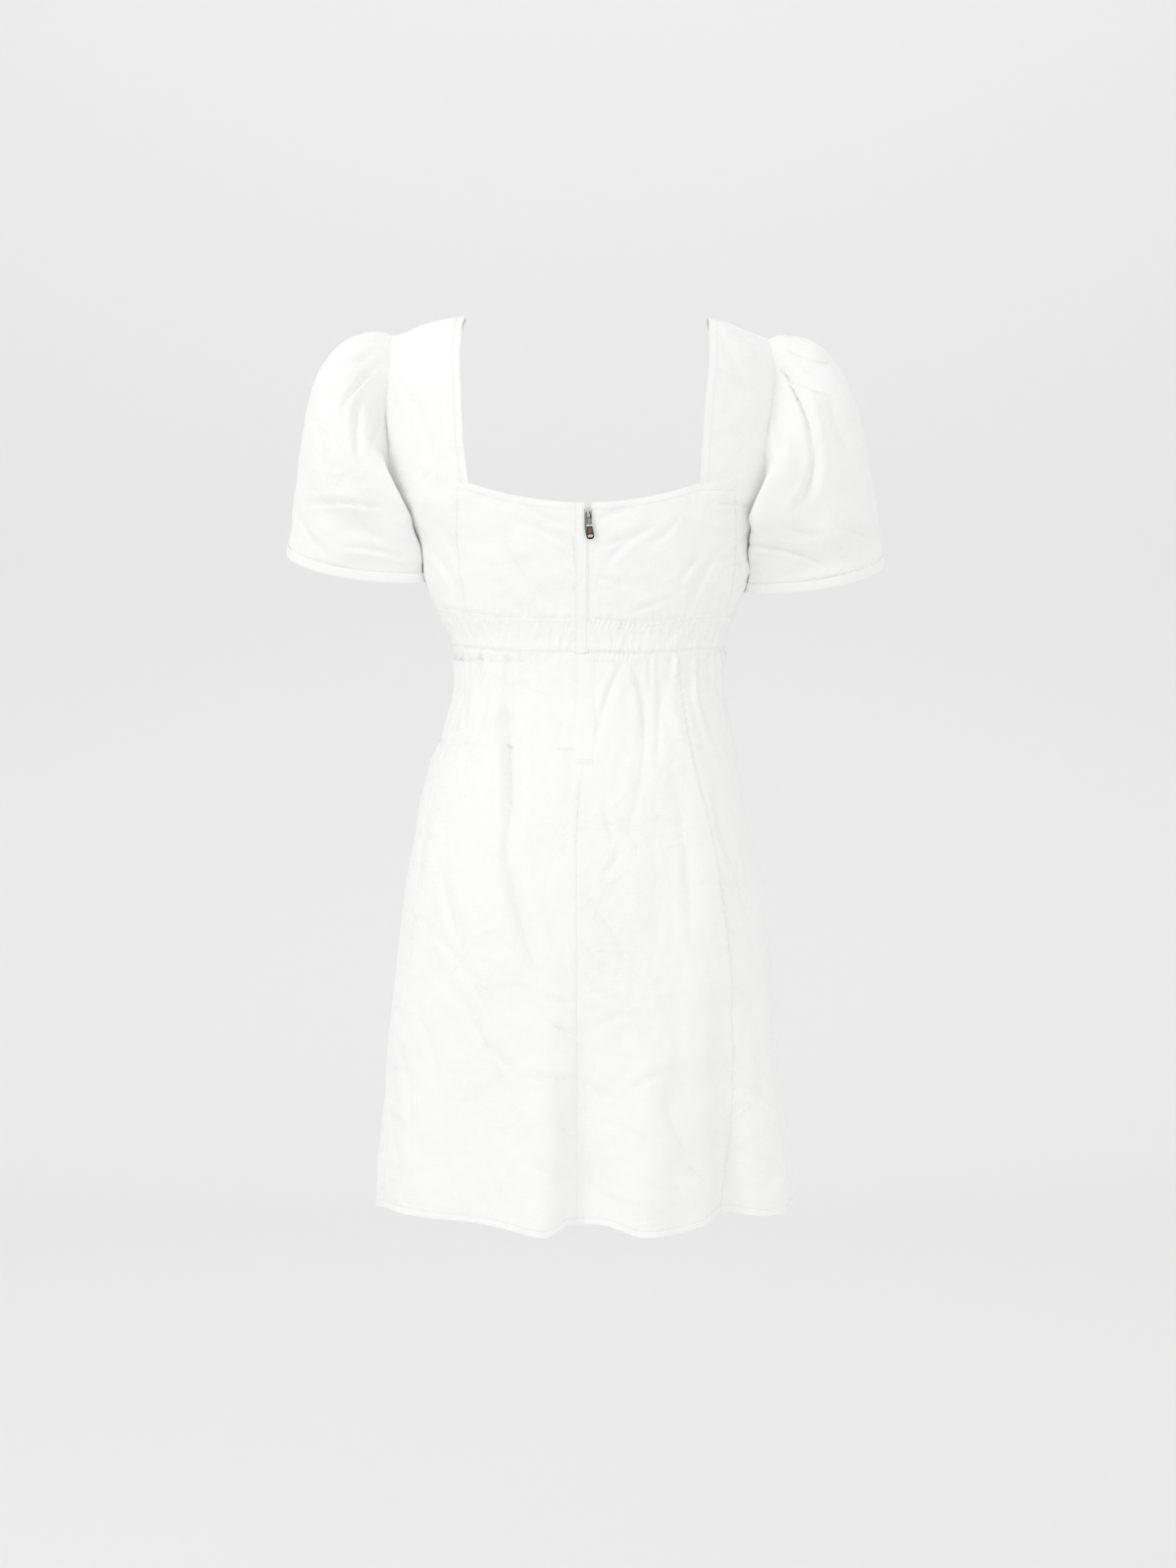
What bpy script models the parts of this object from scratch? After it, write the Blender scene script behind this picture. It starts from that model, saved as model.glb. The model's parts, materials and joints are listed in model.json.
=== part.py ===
"""A short puff sleeve dress in white woven cotton, filled out as it is worn and open at every hem.

Metres, +Z up. The origin lies between the shoulders, level with the top of the straps, where the
dress is held. The back of the dress faces -Y and its right-hand side, seen from the back, is +X.
An angle round the body is 0 at the middle of the back and grows towards +X.
"""

import math
from collections import namedtuple

import bmesh
import bpy
from mathutils import Matrix, Vector

# Cloth
WALL = 0.0012
SEAM_GAP = 0.0003
STRAP_GAP = 0.0006
WAIST_GAP = 0.0006
ARMHOLE_GAP = 0.0005
CUFF_GAP = 0.0007
ROUNDNESS = 2.3  # power of the superellipse that every level section follows
STRAP_ROUNDNESS = 2.9  # the same for a strap's arch over the shoulder

# Levels, down from the strap tops
STRAP_SEAM = -0.152
FRONT_STRAP_SEAM = -0.178
UNDERARM = -0.190
NECK_MIDDLE = -0.1695
FRONT_NECK_MIDDLE = -0.190
WAIST_TOP = -0.2725
WAIST_BOTTOM = -0.3025
HEM = -0.815

# Zip, lapped by a placket down the middle of the back
ZIP_X = 0.0020
ZIP_SLIT = 0.0060
ZIP_TOP = -0.1760
ZIP_END = -0.392
TAPE_END = -0.400
CHAIN_END = -0.374
TAPE_WIDTH = 0.024
TAPE_THICK = 0.0007
CHAIN_WIDTH = 0.0034
CHAIN_THICK = 0.0011
PLACKET_LEFT = -0.0099
PLACKET_RIGHT = 0.0018
PLACKET_THICK = 0.0011
LAP_RIGHT = 0.0085

# Slider and pull tab
PIVOT_Z = -0.1785
SLIDER_WIDTH = 0.0056
SLIDER_TOP = 0.0052
SLIDER_BOTTOM = -0.0054
SLIDER_PLATE = 0.0011
BACK_PLATE_GAP = 0.0007
BACK_PLATE_INSET = 0.0006
BACK_PLATE_THICK = 0.0009
POST_WIDTH = 0.0026
POST_HEIGHT = 0.0018
PIVOT_LIFT = 0.0012
BRIDGE_WIRE = 0.00055
BRIDGE_REACH = 0.0026
BRIDGE_HEIGHT = 0.0018
PULL_THICK = 0.0010
PULL_TILT = math.radians(6)
EYE_WIDTH = 0.0030
EYE_LENGTH = 0.0040
EYE_RIM = 0.0005

# Sleeves
CUFF_HEIGHT = 0.009
CUFF_RADIUS_X = 0.0618
CUFF_RADIUS_Y = 0.055
CAP_PUFF = 0.046
ARM_OUT = math.radians(10)
ARM_FORWARD = math.radians(13)
CAP_GATHERS = 14
CAP_GATHER_DEPTH = 0.0028

# Gathers round the waist
SKIRT_GATHERS = 36
SKIRT_GATHER_DEPTH = 0.0022
BAND_GATHERS = 40
BAND_GATHER_DEPTH = 0.0011

# Mesh steps
BODICE_ROWS = 8
BACK_COLUMNS = 10
SIDE_COLUMNS = 4
ARMHOLE_COLUMNS = 4
FRONT_STRAP_COLUMNS = 3
FRONT_NECK_COLUMNS = 10
STRAP_COLUMNS = 5
STRAP_ROWS = 9
BAND_COLUMNS = 146
BAND_ROWS = 2
SLEEVE_COLUMNS = 56
SLEEVE_ROWS = 9
CUFF_COLUMNS = 40
SKIRT_BACK_COLUMNS = 27
SKIRT_FRONT_COLUMNS = 66

Section = namedtuple("Section", "z left right back front")
SECTIONS = (
    Section(-0.152, 0.188, 0.178, 0.104, 0.106),
    Section(-0.164, 0.184, 0.174, 0.105, 0.111),
    Section(-0.178, 0.173, 0.165, 0.106, 0.115),
    Section(-0.205, 0.155, 0.154, 0.1045, 0.121),
    Section(-0.237, 0.148, 0.149, 0.100, 0.120),
    Section(-0.265, 0.137, 0.138, 0.094, 0.110),
    Section(-0.295, 0.122, 0.127, 0.088, 0.098),
    Section(-0.331, 0.120, 0.125, 0.087, 0.096),
    Section(-0.372, 0.128, 0.132, 0.097, 0.098),
    Section(-0.410, 0.144, 0.140, 0.110, 0.102),
    Section(-0.453, 0.154, 0.147, 0.122, 0.106),
    Section(-0.503, 0.162, 0.157, 0.130, 0.110),
    Section(-0.543, 0.168, 0.165, 0.133, 0.114),
    Section(-0.588, 0.174, 0.170, 0.134, 0.119),
    Section(-0.681, 0.184, 0.177, 0.134, 0.128),
    Section(-0.770, 0.190, 0.188, 0.137, 0.136),
    Section(-0.815, 0.193, 0.190, 0.140, 0.140),
)

# Where each pair of seams crosses the back, as x at each level
Seam = namedtuple("Seam", "z left right")
PRINCESS_SEAMS = (
    Seam(-0.152, -0.115, 0.134),
    Seam(-0.200, -0.117, 0.136),
    Seam(-0.245, -0.112, 0.133),
    Seam(-0.280, -0.106, 0.124),
)
SIDE_SEAMS = (
    Seam(-0.300, -0.119, 0.082),
    Seam(-0.394, -0.134, 0.096),
    Seam(-0.462, -0.148, 0.1125),
    Seam(-0.516, -0.153, 0.123),
    Seam(-0.606, -0.161, 0.133),
    Seam(-0.723, -0.178, 0.138),
    Seam(-0.815, -0.186, 0.132),
)
Centre = namedtuple("Centre", "z x")
CENTRE_BACK = (
    Centre(-0.150, ZIP_X),
    Centre(-0.385, ZIP_X),
    Centre(-0.417, -0.0050),
    Centre(-0.470, -0.0085),
    Centre(-0.815, -0.0085),
)

# Strap edges, as distances from the middle, at each share of the rise to the shoulder line
StrapEdge = namedtuple("StrapEdge", "rise left_inner left_outer right_inner right_outer")
BACK_STRAP = (
    StrapEdge(0.00, 0.1040, 0.1770, 0.1010, 0.1600),
    StrapEdge(0.25, 0.1085, 0.1775, 0.1035, 0.1610),
    StrapEdge(0.50, 0.1105, 0.1800, 0.1065, 0.1660),
    StrapEdge(0.75, 0.1120, 0.1770, 0.1100, 0.1700),
    StrapEdge(1.00, 0.1095, 0.1750, 0.1105, 0.1660),
)
FRONT_STRAP = (
    StrapEdge(0.00, 0.1160, 0.1520, 0.1125, 0.1460),
    StrapEdge(0.25, 0.1172, 0.1560, 0.1130, 0.1500),
    StrapEdge(0.50, 0.1190, 0.1640, 0.1150, 0.1570),
    StrapEdge(0.75, 0.1198, 0.1710, 0.1172, 0.1630),
    StrapEdge(1.00, 0.1095, 0.1750, 0.1105, 0.1660),
)
ShoulderLine = namedtuple("ShoulderLine", "x left right")
SHOULDER_LINE = (
    ShoulderLine(0.105, 0.000, -0.001),
    ShoulderLine(0.126, -0.002, -0.005),
    ShoulderLine(0.148, -0.008, -0.0135),
    ShoulderLine(0.166, -0.015, -0.0205),
    ShoulderLine(0.184, -0.019, -0.0230),
)

# Waist seams rise and fall a little round the body
Waist = namedtuple("Waist", "degrees top bottom")
WAIST_LINE = (
    Waist(-180, 0.000, 0.000),
    Waist(-120, 0.004, 0.002),
    Waist(-75, 0.008, 0.004),
    Waist(-30, 0.000, 0.000),
    Waist(5, 0.000, 0.000),
    Waist(30, -0.004, -0.001),
    Waist(60, 0.003, 0.001),
    Waist(120, 0.004, 0.002),
    Waist(180, 0.000, 0.000),
)

# The hem rises where a fold or a tight seam takes the cloth up
HemRise = namedtuple("HemRise", "degrees rise")
HEM_LINE = (
    HemRise(-180, 0.000),
    HemRise(-90, 0.000),
    HemRise(-70, 0.008),
    HemRise(-43, 0.007),
    HemRise(-30, 0.004),
    HemRise(-14, -0.0015),
    HemRise(-6, 0.0075),
    HemRise(6, 0.0075),
    HemRise(20, -0.0015),
    HemRise(30, -0.001),
    HemRise(39, 0.003),
    HemRise(51, 0.012),
    HemRise(63, 0.005),
    HemRise(78, 0.004),
    HemRise(92, 0.000),
    HemRise(180, 0.000),
)

# Folds drawn across the cloth: a trough where depth is below zero, a ridge where it is above
Fold = namedtuple("Fold", "from_degrees from_z to_degrees to_z width depth")
BODICE_FOLDS = (
    Fold(-40, -0.168, -6, -0.198, 0.010, -0.0022),
    Fold(-36, -0.196, -14, -0.212, 0.009, -0.0018),
    Fold(-55, -0.196, -12, -0.268, 0.016, -0.0035),
    Fold(6, -0.186, 32, -0.174, 0.010, -0.0020),
    Fold(12, -0.228, 46, -0.190, 0.012, -0.0026),
    Fold(52, -0.232, 74, -0.212, 0.010, -0.0018),
    Fold(118, -0.200, 150, -0.222, 0.014, -0.0030),
    Fold(-112, -0.204, -150, -0.226, 0.014, -0.0030),
)
SKIRT_FOLDS = (
    Fold(-41, -0.322, -23, -0.610, 0.016, -0.0050),
    Fold(20, -0.314, 11, -0.392, 0.008, -0.0024),
    Fold(27, -0.314, 34, -0.392, 0.008, -0.0022),
    Fold(36, -0.340, 27, -0.520, 0.014, -0.0026),
    Fold(-76, -0.510, -54, -0.600, 0.012, -0.0034),
    Fold(-68, -0.535, -44, -0.690, 0.014, -0.0036),
    Fold(-64, -0.640, -30, -0.740, 0.014, -0.0028),
    Fold(-14, -0.640, 26, -0.668, 0.012, -0.0026),
    Fold(-26, -0.700, -4, -0.688, 0.010, -0.0022),
    Fold(2, -0.712, 24, -0.690, 0.010, -0.0022),
    Fold(112, -0.330, 132, -0.560, 0.016, -0.0040),
    Fold(150, -0.330, 162, -0.520, 0.014, -0.0034),
    Fold(-118, -0.330, -136, -0.560, 0.016, -0.0040),
    Fold(-168, -0.340, -158, -0.500, 0.014, -0.0030),
    Fold(120, -0.620, 160, -0.680, 0.014, -0.0026),
)
# Flutes of the skirt, which deepen down to the hem
Flute = namedtuple("Flute", "degrees width depth")
FLUTES = (
    Flute(-62, 0.026, 0.0040),
    Flute(-42, 0.026, -0.0080),
    Flute(-15, 0.024, 0.0120),
    Flute(-1, 0.018, -0.0140),
    Flute(22, 0.024, 0.0120),
    Flute(51, 0.017, -0.0200),
    Flute(69, 0.020, 0.0060),
    Flute(112, 0.030, 0.0060),
    Flute(135, 0.026, -0.0050),
    Flute(160, 0.030, 0.0060),
    Flute(-175, 0.026, -0.0050),
    Flute(-152, 0.030, 0.0060),
    Flute(-128, 0.026, -0.0050),
    Flute(-108, 0.026, 0.0050),
)
FLUTES_START = -0.520

# Dents in each sleeve: angle round the sleeve from its top over the back, and share of its length
Dent = namedtuple("Dent", "side degrees along wide long depth")
SLEEVE_DENTS = (
    Dent(-1, 75, 0.80, 38, 0.07, -0.0050),
    Dent(-1, 40, 0.90, 24, 0.06, -0.0030),
    Dent(-1, 112, 0.62, 16, 0.22, -0.0045),
    Dent(-1, 262, 0.70, 34, 0.10, -0.0040),
    Dent(1, 88, 0.52, 11, 0.30, -0.0055),
    Dent(1, 128, 0.82, 22, 0.10, -0.0040),
    Dent(1, 66, 0.93, 34, 0.06, -0.0028),
    Dent(1, 270, 0.66, 30, 0.12, -0.0040),
)

Sleeve = namedtuple("Sleeve", "side cuff_x cuff_z cap_reach cap_rise")
SLEEVES = {
    "left": Sleeve(-1, -0.2142, -0.2250, 0.088, 0.018),
    "right": Sleeve(1, 0.2140, -0.2345, 0.085, 0.0225),
}
CUFF_Y = 0.030

Finish = namedtuple("Finish", "colour roughness metallic")
FINISHES = {
    "cotton": Finish((0.90, 0.90, 0.89), 0.85, 0.0),
    "tape": Finish((0.86, 0.86, 0.85), 0.8, 0.0),
    "zip_metal": Finish((0.13, 0.13, 0.135), 0.4, 1.0),
}


def clear_scene():
    for obj in list(bpy.data.objects):
        bpy.data.objects.remove(obj, do_unlink=True)


def new_collection(name):
    collection = bpy.data.collections.new(name)
    bpy.context.scene.collection.children.link(collection)
    return collection


def material(name):
    """The material of this finish, made once."""
    found = bpy.data.materials.get(name)
    if found:
        return found
    finish = FINISHES[name]
    found = bpy.data.materials.new(name)
    found.use_nodes = True
    shader = found.node_tree.nodes["Principled BSDF"]
    shader.inputs["Base Color"].default_value = (*finish.colour, 1)
    shader.inputs["Roughness"].default_value = finish.roughness
    shader.inputs["Metallic"].default_value = finish.metallic
    return found


def curve_through(rows, at, column):
    """The column's value at this place, on a curve through the rows that never overshoots them."""
    rows = sorted(rows, key=lambda row: row[0])
    places = [row[0] for row in rows]
    values = [getattr(row, column) for row in rows]
    if at <= places[0]:
        return values[0]
    if at >= places[-1]:
        return values[-1]
    slopes = [(values[i + 1] - values[i]) / (places[i + 1] - places[i]) for i in range(len(rows) - 1)]
    tangents = [slopes[0]]
    for before, after in zip(slopes, slopes[1:]):
        same_way = before * after > 0
        tangents.append(2 * before * after / (before + after) if same_way else 0.0)
    tangents.append(slopes[-1])
    i = max(k for k in range(len(rows) - 1) if places[k] <= at)
    step = places[i + 1] - places[i]
    t = (at - places[i]) / step
    return (
        values[i] * (1 + 2 * t) * (1 - t) ** 2
        + tangents[i] * step * t * (1 - t) ** 2
        + values[i + 1] * t * t * (3 - 2 * t)
        + tangents[i + 1] * step * t * t * (t - 1)
    )


def smoothstep(low, high, value):
    t = min(max((value - low) / (high - low), 0.0), 1.0)
    return t * t * (3 - 2 * t)


def mix(a, b, t):
    return a + (b - a) * t


def turn_between(a, b):
    """The angle from b to a, in degrees, the short way round."""
    return (a - b + 180) % 360 - 180


def section_at(z):
    return Section(z, *(curve_through(SECTIONS, z, c) for c in ("left", "right", "back", "front")))


def beside_zip(degrees, z):
    """How far folds may reach here: none at the zip, all of their depth away from it or below it."""
    aside = smoothstep(7, 14, abs(turn_between(degrees, 1)))
    return mix(1.0, aside, smoothstep(TAPE_END - 0.045, TAPE_END - 0.012, z))


def fold_offset(folds, degrees, z, radius):
    total = 0.0
    for fold in folds:
        t = (z - fold.from_z) / (fold.to_z - fold.from_z)
        if 0 < t < 1:
            aside = turn_between(degrees, mix(fold.from_degrees, fold.to_degrees, t))
            arc = math.radians(aside) * radius
            slant = math.radians(fold.to_degrees - fold.from_degrees) * radius
            fall = abs(fold.to_z - fold.from_z)
            across = arc * fall / math.hypot(slant, fall)
            total += fold.depth * math.exp(-((across / fold.width) ** 2)) * 4 * t * (1 - t)
    return total * beside_zip(degrees, z)


def flute_offset(degrees, z, radius):
    growth = smoothstep(FLUTES_START, HEM, z) ** 1.2
    total = 0.0
    for flute in FLUTES:
        arc = math.radians(turn_between(degrees, flute.degrees)) * radius
        total += flute.depth * math.exp(-((arc / flute.width) ** 2))
    return total * growth


def gathered(degrees):
    """How gathered the waist is here: most at the sides and across the front, least at the zip."""
    away = abs(turn_between(degrees, 2))
    return 0.25 * smoothstep(8, 14, away) + 0.75 * smoothstep(22, 48, away)


def waves(count, degrees):
    """Waves round the body, with spacing that drifts so that no two are alike."""
    turn = math.radians(degrees)
    drift = 0.55 * math.sin(3 * turn + 0.7) + 0.35 * math.sin(7 * turn + 2.1)
    return math.sin(count * turn + drift)


def beside_side_seam(degrees, z):
    """Gathers lie flat at the skirt's side seams, where two panels meet edge to edge."""
    flat = 1.0
    for side in ("left", "right"):
        away = abs(turn_between(degrees, seam_angle(SIDE_SEAMS, side, z)))
        flat *= smoothstep(0.5, 6.0, away)
    return flat


def skirt_gather(degrees, z):
    rise = smoothstep(WAIST_BOTTOM + 0.004, WAIST_BOTTOM - 0.014, z)
    fall = 1 - smoothstep(WAIST_BOTTOM - 0.030, WAIST_BOTTOM - 0.115, z)
    depth = SKIRT_GATHER_DEPTH * gathered(degrees) * beside_side_seam(degrees, z)
    return depth * waves(SKIRT_GATHERS, degrees) * rise * fall


def band_gather(degrees, z):
    middle = (WAIST_TOP + WAIST_BOTTOM) / 2
    half = (WAIST_TOP - WAIST_BOTTOM) / 2
    swell = max(0.0, 1 - ((z - middle) / (1.25 * half)) ** 2)
    return BAND_GATHER_DEPTH * gathered(degrees) * waves(BAND_GATHERS, degrees) * swell


def waist_level(degrees, column):
    base = WAIST_TOP if column == "top" else WAIST_BOTTOM
    return base + curve_through(WAIST_LINE, turn_between(degrees, 0), column)


def hem_level(degrees):
    return HEM + curve_through(HEM_LINE, turn_between(degrees, 0), "rise")


def body_point(degrees, z, lift=0.0, relief="bodice"):
    """A point of the outer face at this angle and level, moved out by lift."""
    section = section_at(z)
    turn = math.radians(degrees)
    across, back = math.sin(turn), math.cos(turn)
    half_width = section.right if across > 0 else section.left
    depth = section.back if back > 0 else section.front
    shape = (abs(across) / half_width) ** ROUNDNESS + (abs(back) / depth) ** ROUNDNESS
    radius = shape ** (-1 / ROUNDNESS)
    if relief == "bodice":
        still = smoothstep(WAIST_TOP + 0.004, WAIST_TOP + 0.020, z)
        radius += fold_offset(BODICE_FOLDS, degrees, z, radius) * still
    elif relief == "band":
        radius += band_gather(degrees, z)
    else:
        radius += skirt_gather(degrees, z) + flute_offset(degrees, z, radius)
        radius += fold_offset(SKIRT_FOLDS, degrees, z, radius)
    return Vector(((radius + lift) * across, -(radius + lift) * back, z))


def back_angle(x, z):
    """The angle at which the back has this x at this level."""
    section = section_at(z)
    half_width = section.right if x > 0 else section.left
    depth = section.back * (1 - min(abs(x) / half_width, 0.9999) ** ROUNDNESS) ** (1 / ROUNDNESS)
    return math.degrees(math.atan2(x, depth))


def front_angle(x, z):
    section = section_at(z)
    half_width = section.right if x > 0 else section.left
    depth = section.front * (1 - min(abs(x) / half_width, 0.9999) ** ROUNDNESS) ** (1 / ROUNDNESS)
    return math.degrees(math.atan2(x, -depth))


def seam_angle(seams, side, z):
    return back_angle(curve_through(seams, z, side), z)


def grid_surface(name, columns, rows, place, finish, collection, closed=False, wall=WALL):
    """A cloth panel: a grid laid on place(column, row) as its outer face, with its wall inside."""
    mesh = bpy.data.meshes.new(name)
    shape = bmesh.new()
    bmesh.ops.create_grid(shape, x_segments=columns, y_segments=rows, size=0.5)
    for vert in shape.verts:
        column = round((vert.co.x + 0.5) * columns)
        row = round((vert.co.y + 0.5) * rows)
        vert.co = place(column, row)
    if closed:
        bmesh.ops.remove_doubles(shape, verts=shape.verts, dist=1e-5)
    shape.to_mesh(mesh)
    shape.free()
    mesh.shade_smooth()
    mesh.materials.append(material(finish))
    obj = bpy.data.objects.new(name, mesh)
    collection.objects.link(obj)
    solidify = obj.modifiers.new("Cloth wall", "SOLIDIFY")
    solidify.thickness = wall
    solidify.offset = -1
    return obj


def neckline(x):
    """Level of the back neckline, which sags from its corners to the middle."""
    corner = BACK_STRAP[0].left_inner if x < 0 else BACK_STRAP[0].right_inner
    share = min(abs(x) / corner, 1.0)
    return mix(NECK_MIDDLE, STRAP_SEAM - STRAP_GAP, share**2)


def centre_back(z, side):
    """x of a back panel's edge at the middle: beside the zip, then along the centre seam."""
    slit = mix(ZIP_SLIT / 2, SEAM_GAP / 2, smoothstep(ZIP_END + 0.010, ZIP_END - 0.004, z))
    return curve_through(CENTRE_BACK, z, "x") + (slit if side == "right" else -slit)


def seam_shift(z, degrees, gap):
    """The angle that half a seam gap spans at this place."""
    point = body_point(degrees, z)
    return math.degrees(gap / 2 / math.hypot(point.x, point.y))


def bodice_bottom(degrees):
    return waist_level(degrees, "top") + WAIST_GAP / 2


def add_back_panels(collection):
    for side in ("left", "right"):

        def place(column, row, side=side):
            share = column / BACK_COLUMNS
            rise = row / BODICE_ROWS
            z = mix(WAIST_TOP, NECK_MIDDLE, rise)
            for _ in range(6):
                middle = back_angle(centre_back(z, side), z)
                seam = seam_angle(PRINCESS_SEAMS, side, z)
                seam -= seam_shift(z, seam, SEAM_GAP) * (1 if side == "right" else -1)
                low, high = (seam, middle) if side == "left" else (middle, seam)
                degrees = mix(low, high, share)
                top = neckline(body_point(degrees, NECK_MIDDLE).x)
                z = mix(bodice_bottom(degrees), top, rise)
            return body_point(degrees, z)

        grid_surface(f"bodice_back_{side}", BACK_COLUMNS, BODICE_ROWS, place, "cotton", collection)


def armhole_angles(side):
    """Angles of the armhole's lower ends, on the back strap seam and on the front one."""
    sign = -1 if side == "left" else 1
    back = back_angle(sign * getattr(BACK_STRAP[0], f"{side}_outer"), STRAP_SEAM)
    front = front_angle(sign * getattr(FRONT_STRAP[0], f"{side}_outer"), FRONT_STRAP_SEAM)
    return back, front


def armhole_level(side, degrees):
    """Level of the armhole under the arm, or of the strap seam on either side of it."""
    back, front = armhole_angles(side)
    side_seam = -90 if side == "left" else 90
    if abs(degrees) <= 90:
        span, top = abs(back - side_seam), STRAP_SEAM
    else:
        span, top = abs(front - side_seam), FRONT_STRAP_SEAM - STRAP_GAP
    share = min(abs(degrees - side_seam) / span, 1.0)
    return mix(UNDERARM, top, 1 - math.sqrt(1 - share**2) if share < 1 else 1.0)


def side_degrees(side, column, z):
    """Angle of a column of the side panel, counted from the princess seam to the side seam."""
    back, _ = armhole_angles(side)
    side_seam = -90 if side == "left" else 90
    seam = seam_angle(PRINCESS_SEAMS, side, z)
    start = seam_angle(PRINCESS_SEAMS, side, STRAP_SEAM)
    armhole_share = (back - start) / (side_seam - start)
    if column <= SIDE_COLUMNS:
        share = armhole_share * column / SIDE_COLUMNS
    else:
        share = mix(armhole_share, 1, (column - SIDE_COLUMNS) / ARMHOLE_COLUMNS)
    near = seam_shift(z, seam, SEAM_GAP) * (1 if side == "right" else -1)
    return mix(seam + near, side_seam - near, share)


def add_side_panels(collection):
    columns = SIDE_COLUMNS + ARMHOLE_COLUMNS
    for side in ("left", "right"):

        def place(column, row, side=side):
            counted = columns - column if side == "left" else column
            rise = row / BODICE_ROWS
            z = mix(WAIST_TOP, STRAP_SEAM, rise)
            for _ in range(6):
                degrees = side_degrees(side, counted, z)
                top = armhole_level(side, degrees)
                if counted < SIDE_COLUMNS + 1:
                    top = STRAP_SEAM - STRAP_GAP
                z = mix(bodice_bottom(degrees), top, rise)
            return body_point(degrees, z)

        grid_surface(f"bodice_side_{side}", columns, BODICE_ROWS, place, "cotton", collection)


def front_columns():
    """Top angles of the front panel's columns, from the right side seam round to the left one."""
    _, right = armhole_angles("right")
    _, left = armhole_angles("left")
    neck_right = front_angle(FRONT_STRAP[0].right_inner, FRONT_STRAP_SEAM)
    neck_left = front_angle(-FRONT_STRAP[0].left_inner, FRONT_STRAP_SEAM) + 360
    near = seam_shift(UNDERARM, 90, SEAM_GAP)
    stops = (
        (90 + near, 0),
        (right, ARMHOLE_COLUMNS),
        (neck_right, FRONT_STRAP_COLUMNS),
        (neck_left, FRONT_NECK_COLUMNS),
        (left + 360, FRONT_STRAP_COLUMNS),
        (270 - near, ARMHOLE_COLUMNS),
    )
    angles = [stops[0][0]]
    for (start, _), (end, steps) in zip(stops, stops[1:]):
        angles += [mix(start, end, (i + 1) / steps) for i in range(steps)]
    return angles


def front_top(degrees):
    """Level of the front panel's upper edge: armhole, strap seam, then the square neckline."""
    turned = turn_between(degrees, 0)
    side = "left" if turned < 0 else "right"
    if abs(turned) < abs(armhole_angles(side)[1]):
        return armhole_level(side, turned)
    corner = getattr(FRONT_STRAP[0], f"{side}_inner")
    share = min(abs(body_point(degrees, FRONT_STRAP_SEAM).x) / corner, 1.0)
    return mix(FRONT_NECK_MIDDLE, FRONT_STRAP_SEAM - STRAP_GAP, share**6)


def add_front_panel(collection):
    angles = front_columns()
    columns = len(angles) - 1

    def place(column, row):
        degrees = angles[column]
        z = mix(bodice_bottom(degrees), front_top(degrees), row / BODICE_ROWS)
        return body_point(degrees, z)

    grid_surface("bodice_front", columns, BODICE_ROWS, place, "cotton", collection)


def strap_point(side, across, along):
    """A point of a strap: across 0 at its inner edge and 1 at its outer one, along -1 at the back
    seam, 0 on the shoulder line and 1 at the front seam."""
    sign = -1 if side == "left" else 1
    table, low = (BACK_STRAP, STRAP_SEAM) if along <= 0 else (FRONT_STRAP, FRONT_STRAP_SEAM)
    turn = (1 - abs(along)) * math.pi / 2
    rise = math.sin(turn) ** (2 / STRAP_ROUNDNESS)
    inner = curve_through(table, rise, f"{side}_inner")
    outer = curve_through(table, rise, f"{side}_outer")
    x = mix(inner, outer, across)
    section = section_at(low)
    half_width = section.left if side == "left" else section.right
    depth = section.back if along <= 0 else section.front
    reach = depth * (1 - (x / half_width) ** ROUNDNESS) ** (1 / ROUNDNESS) if x < half_width else 0.0
    y = reach * max(math.cos(turn), 0.0) ** (2 / STRAP_ROUNDNESS)
    z = mix(low, curve_through(SHOULDER_LINE, x, side), rise)
    return Vector((sign * x, -y if along <= 0 else y, z))


def add_straps(collection):
    for side in ("left", "right"):

        def place(column, row, side=side):
            across = column / STRAP_COLUMNS
            if side == "left":
                across = 1 - across
            return strap_point(side, across, row / STRAP_ROWS - 1)

        grid_surface(f"strap_{side}", STRAP_COLUMNS, 2 * STRAP_ROWS, place, "cotton", collection)


def armhole_ring(side):
    """The armhole's edge, from the shoulder down the back, under the arm and up the front."""
    points = [strap_point(side, 1, -row / STRAP_ROWS) for row in range(STRAP_ROWS + 1)]
    back, front = armhole_angles(side)
    side_seam = -90 if side == "left" else 90
    for start, end in ((back, side_seam), (side_seam, front)):
        for i in range(1, ARMHOLE_COLUMNS + 1):
            degrees = mix(start, end, i / ARMHOLE_COLUMNS)
            points.append(body_point(degrees, armhole_level(side, degrees)))
    points.pop()
    points += [strap_point(side, 1, row / STRAP_ROWS) for row in range(STRAP_ROWS, 0, -1)]
    return points


def along_ring(points, low, share):
    """The point at this share of a closed ring whose half way point is the one numbered low."""
    ring = points + [points[0]]
    half = ring[: low + 1] if share <= 0.5 else ring[low:]
    share = share * 2 if share <= 0.5 else share * 2 - 1
    lengths = [(b - a).length for a, b in zip(half, half[1:])]
    wanted = share * sum(lengths)
    for (start, end), length in zip(zip(half, half[1:]), lengths):
        if wanted <= length:
            return start.lerp(end, wanted / length)
        wanted -= length
    return half[-1].copy()


def by_height(top, middle, bottom, turn):
    """A value round the sleeve that is top at 0, middle at a quarter turn and bottom at a half."""
    mean = (top + 2 * middle + bottom) / 4
    return mean + (top - bottom) / 2 * math.cos(turn) + (top - 2 * middle + bottom) / 4 * math.cos(2 * turn)


def arm_frame(side):
    """Arm direction, and the cuff's axes towards the body and towards the back."""
    down = Vector((side * math.tan(ARM_OUT), math.tan(ARM_FORWARD), -1)).normalized()
    inward = Vector((-side, 0, 0))
    inward = (inward - inward.dot(down) * down).normalized()
    backward = Vector((0, -1, 0))
    backward = (backward - backward.dot(down) * down - backward.dot(inward) * inward).normalized()
    return down, inward, backward


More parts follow.
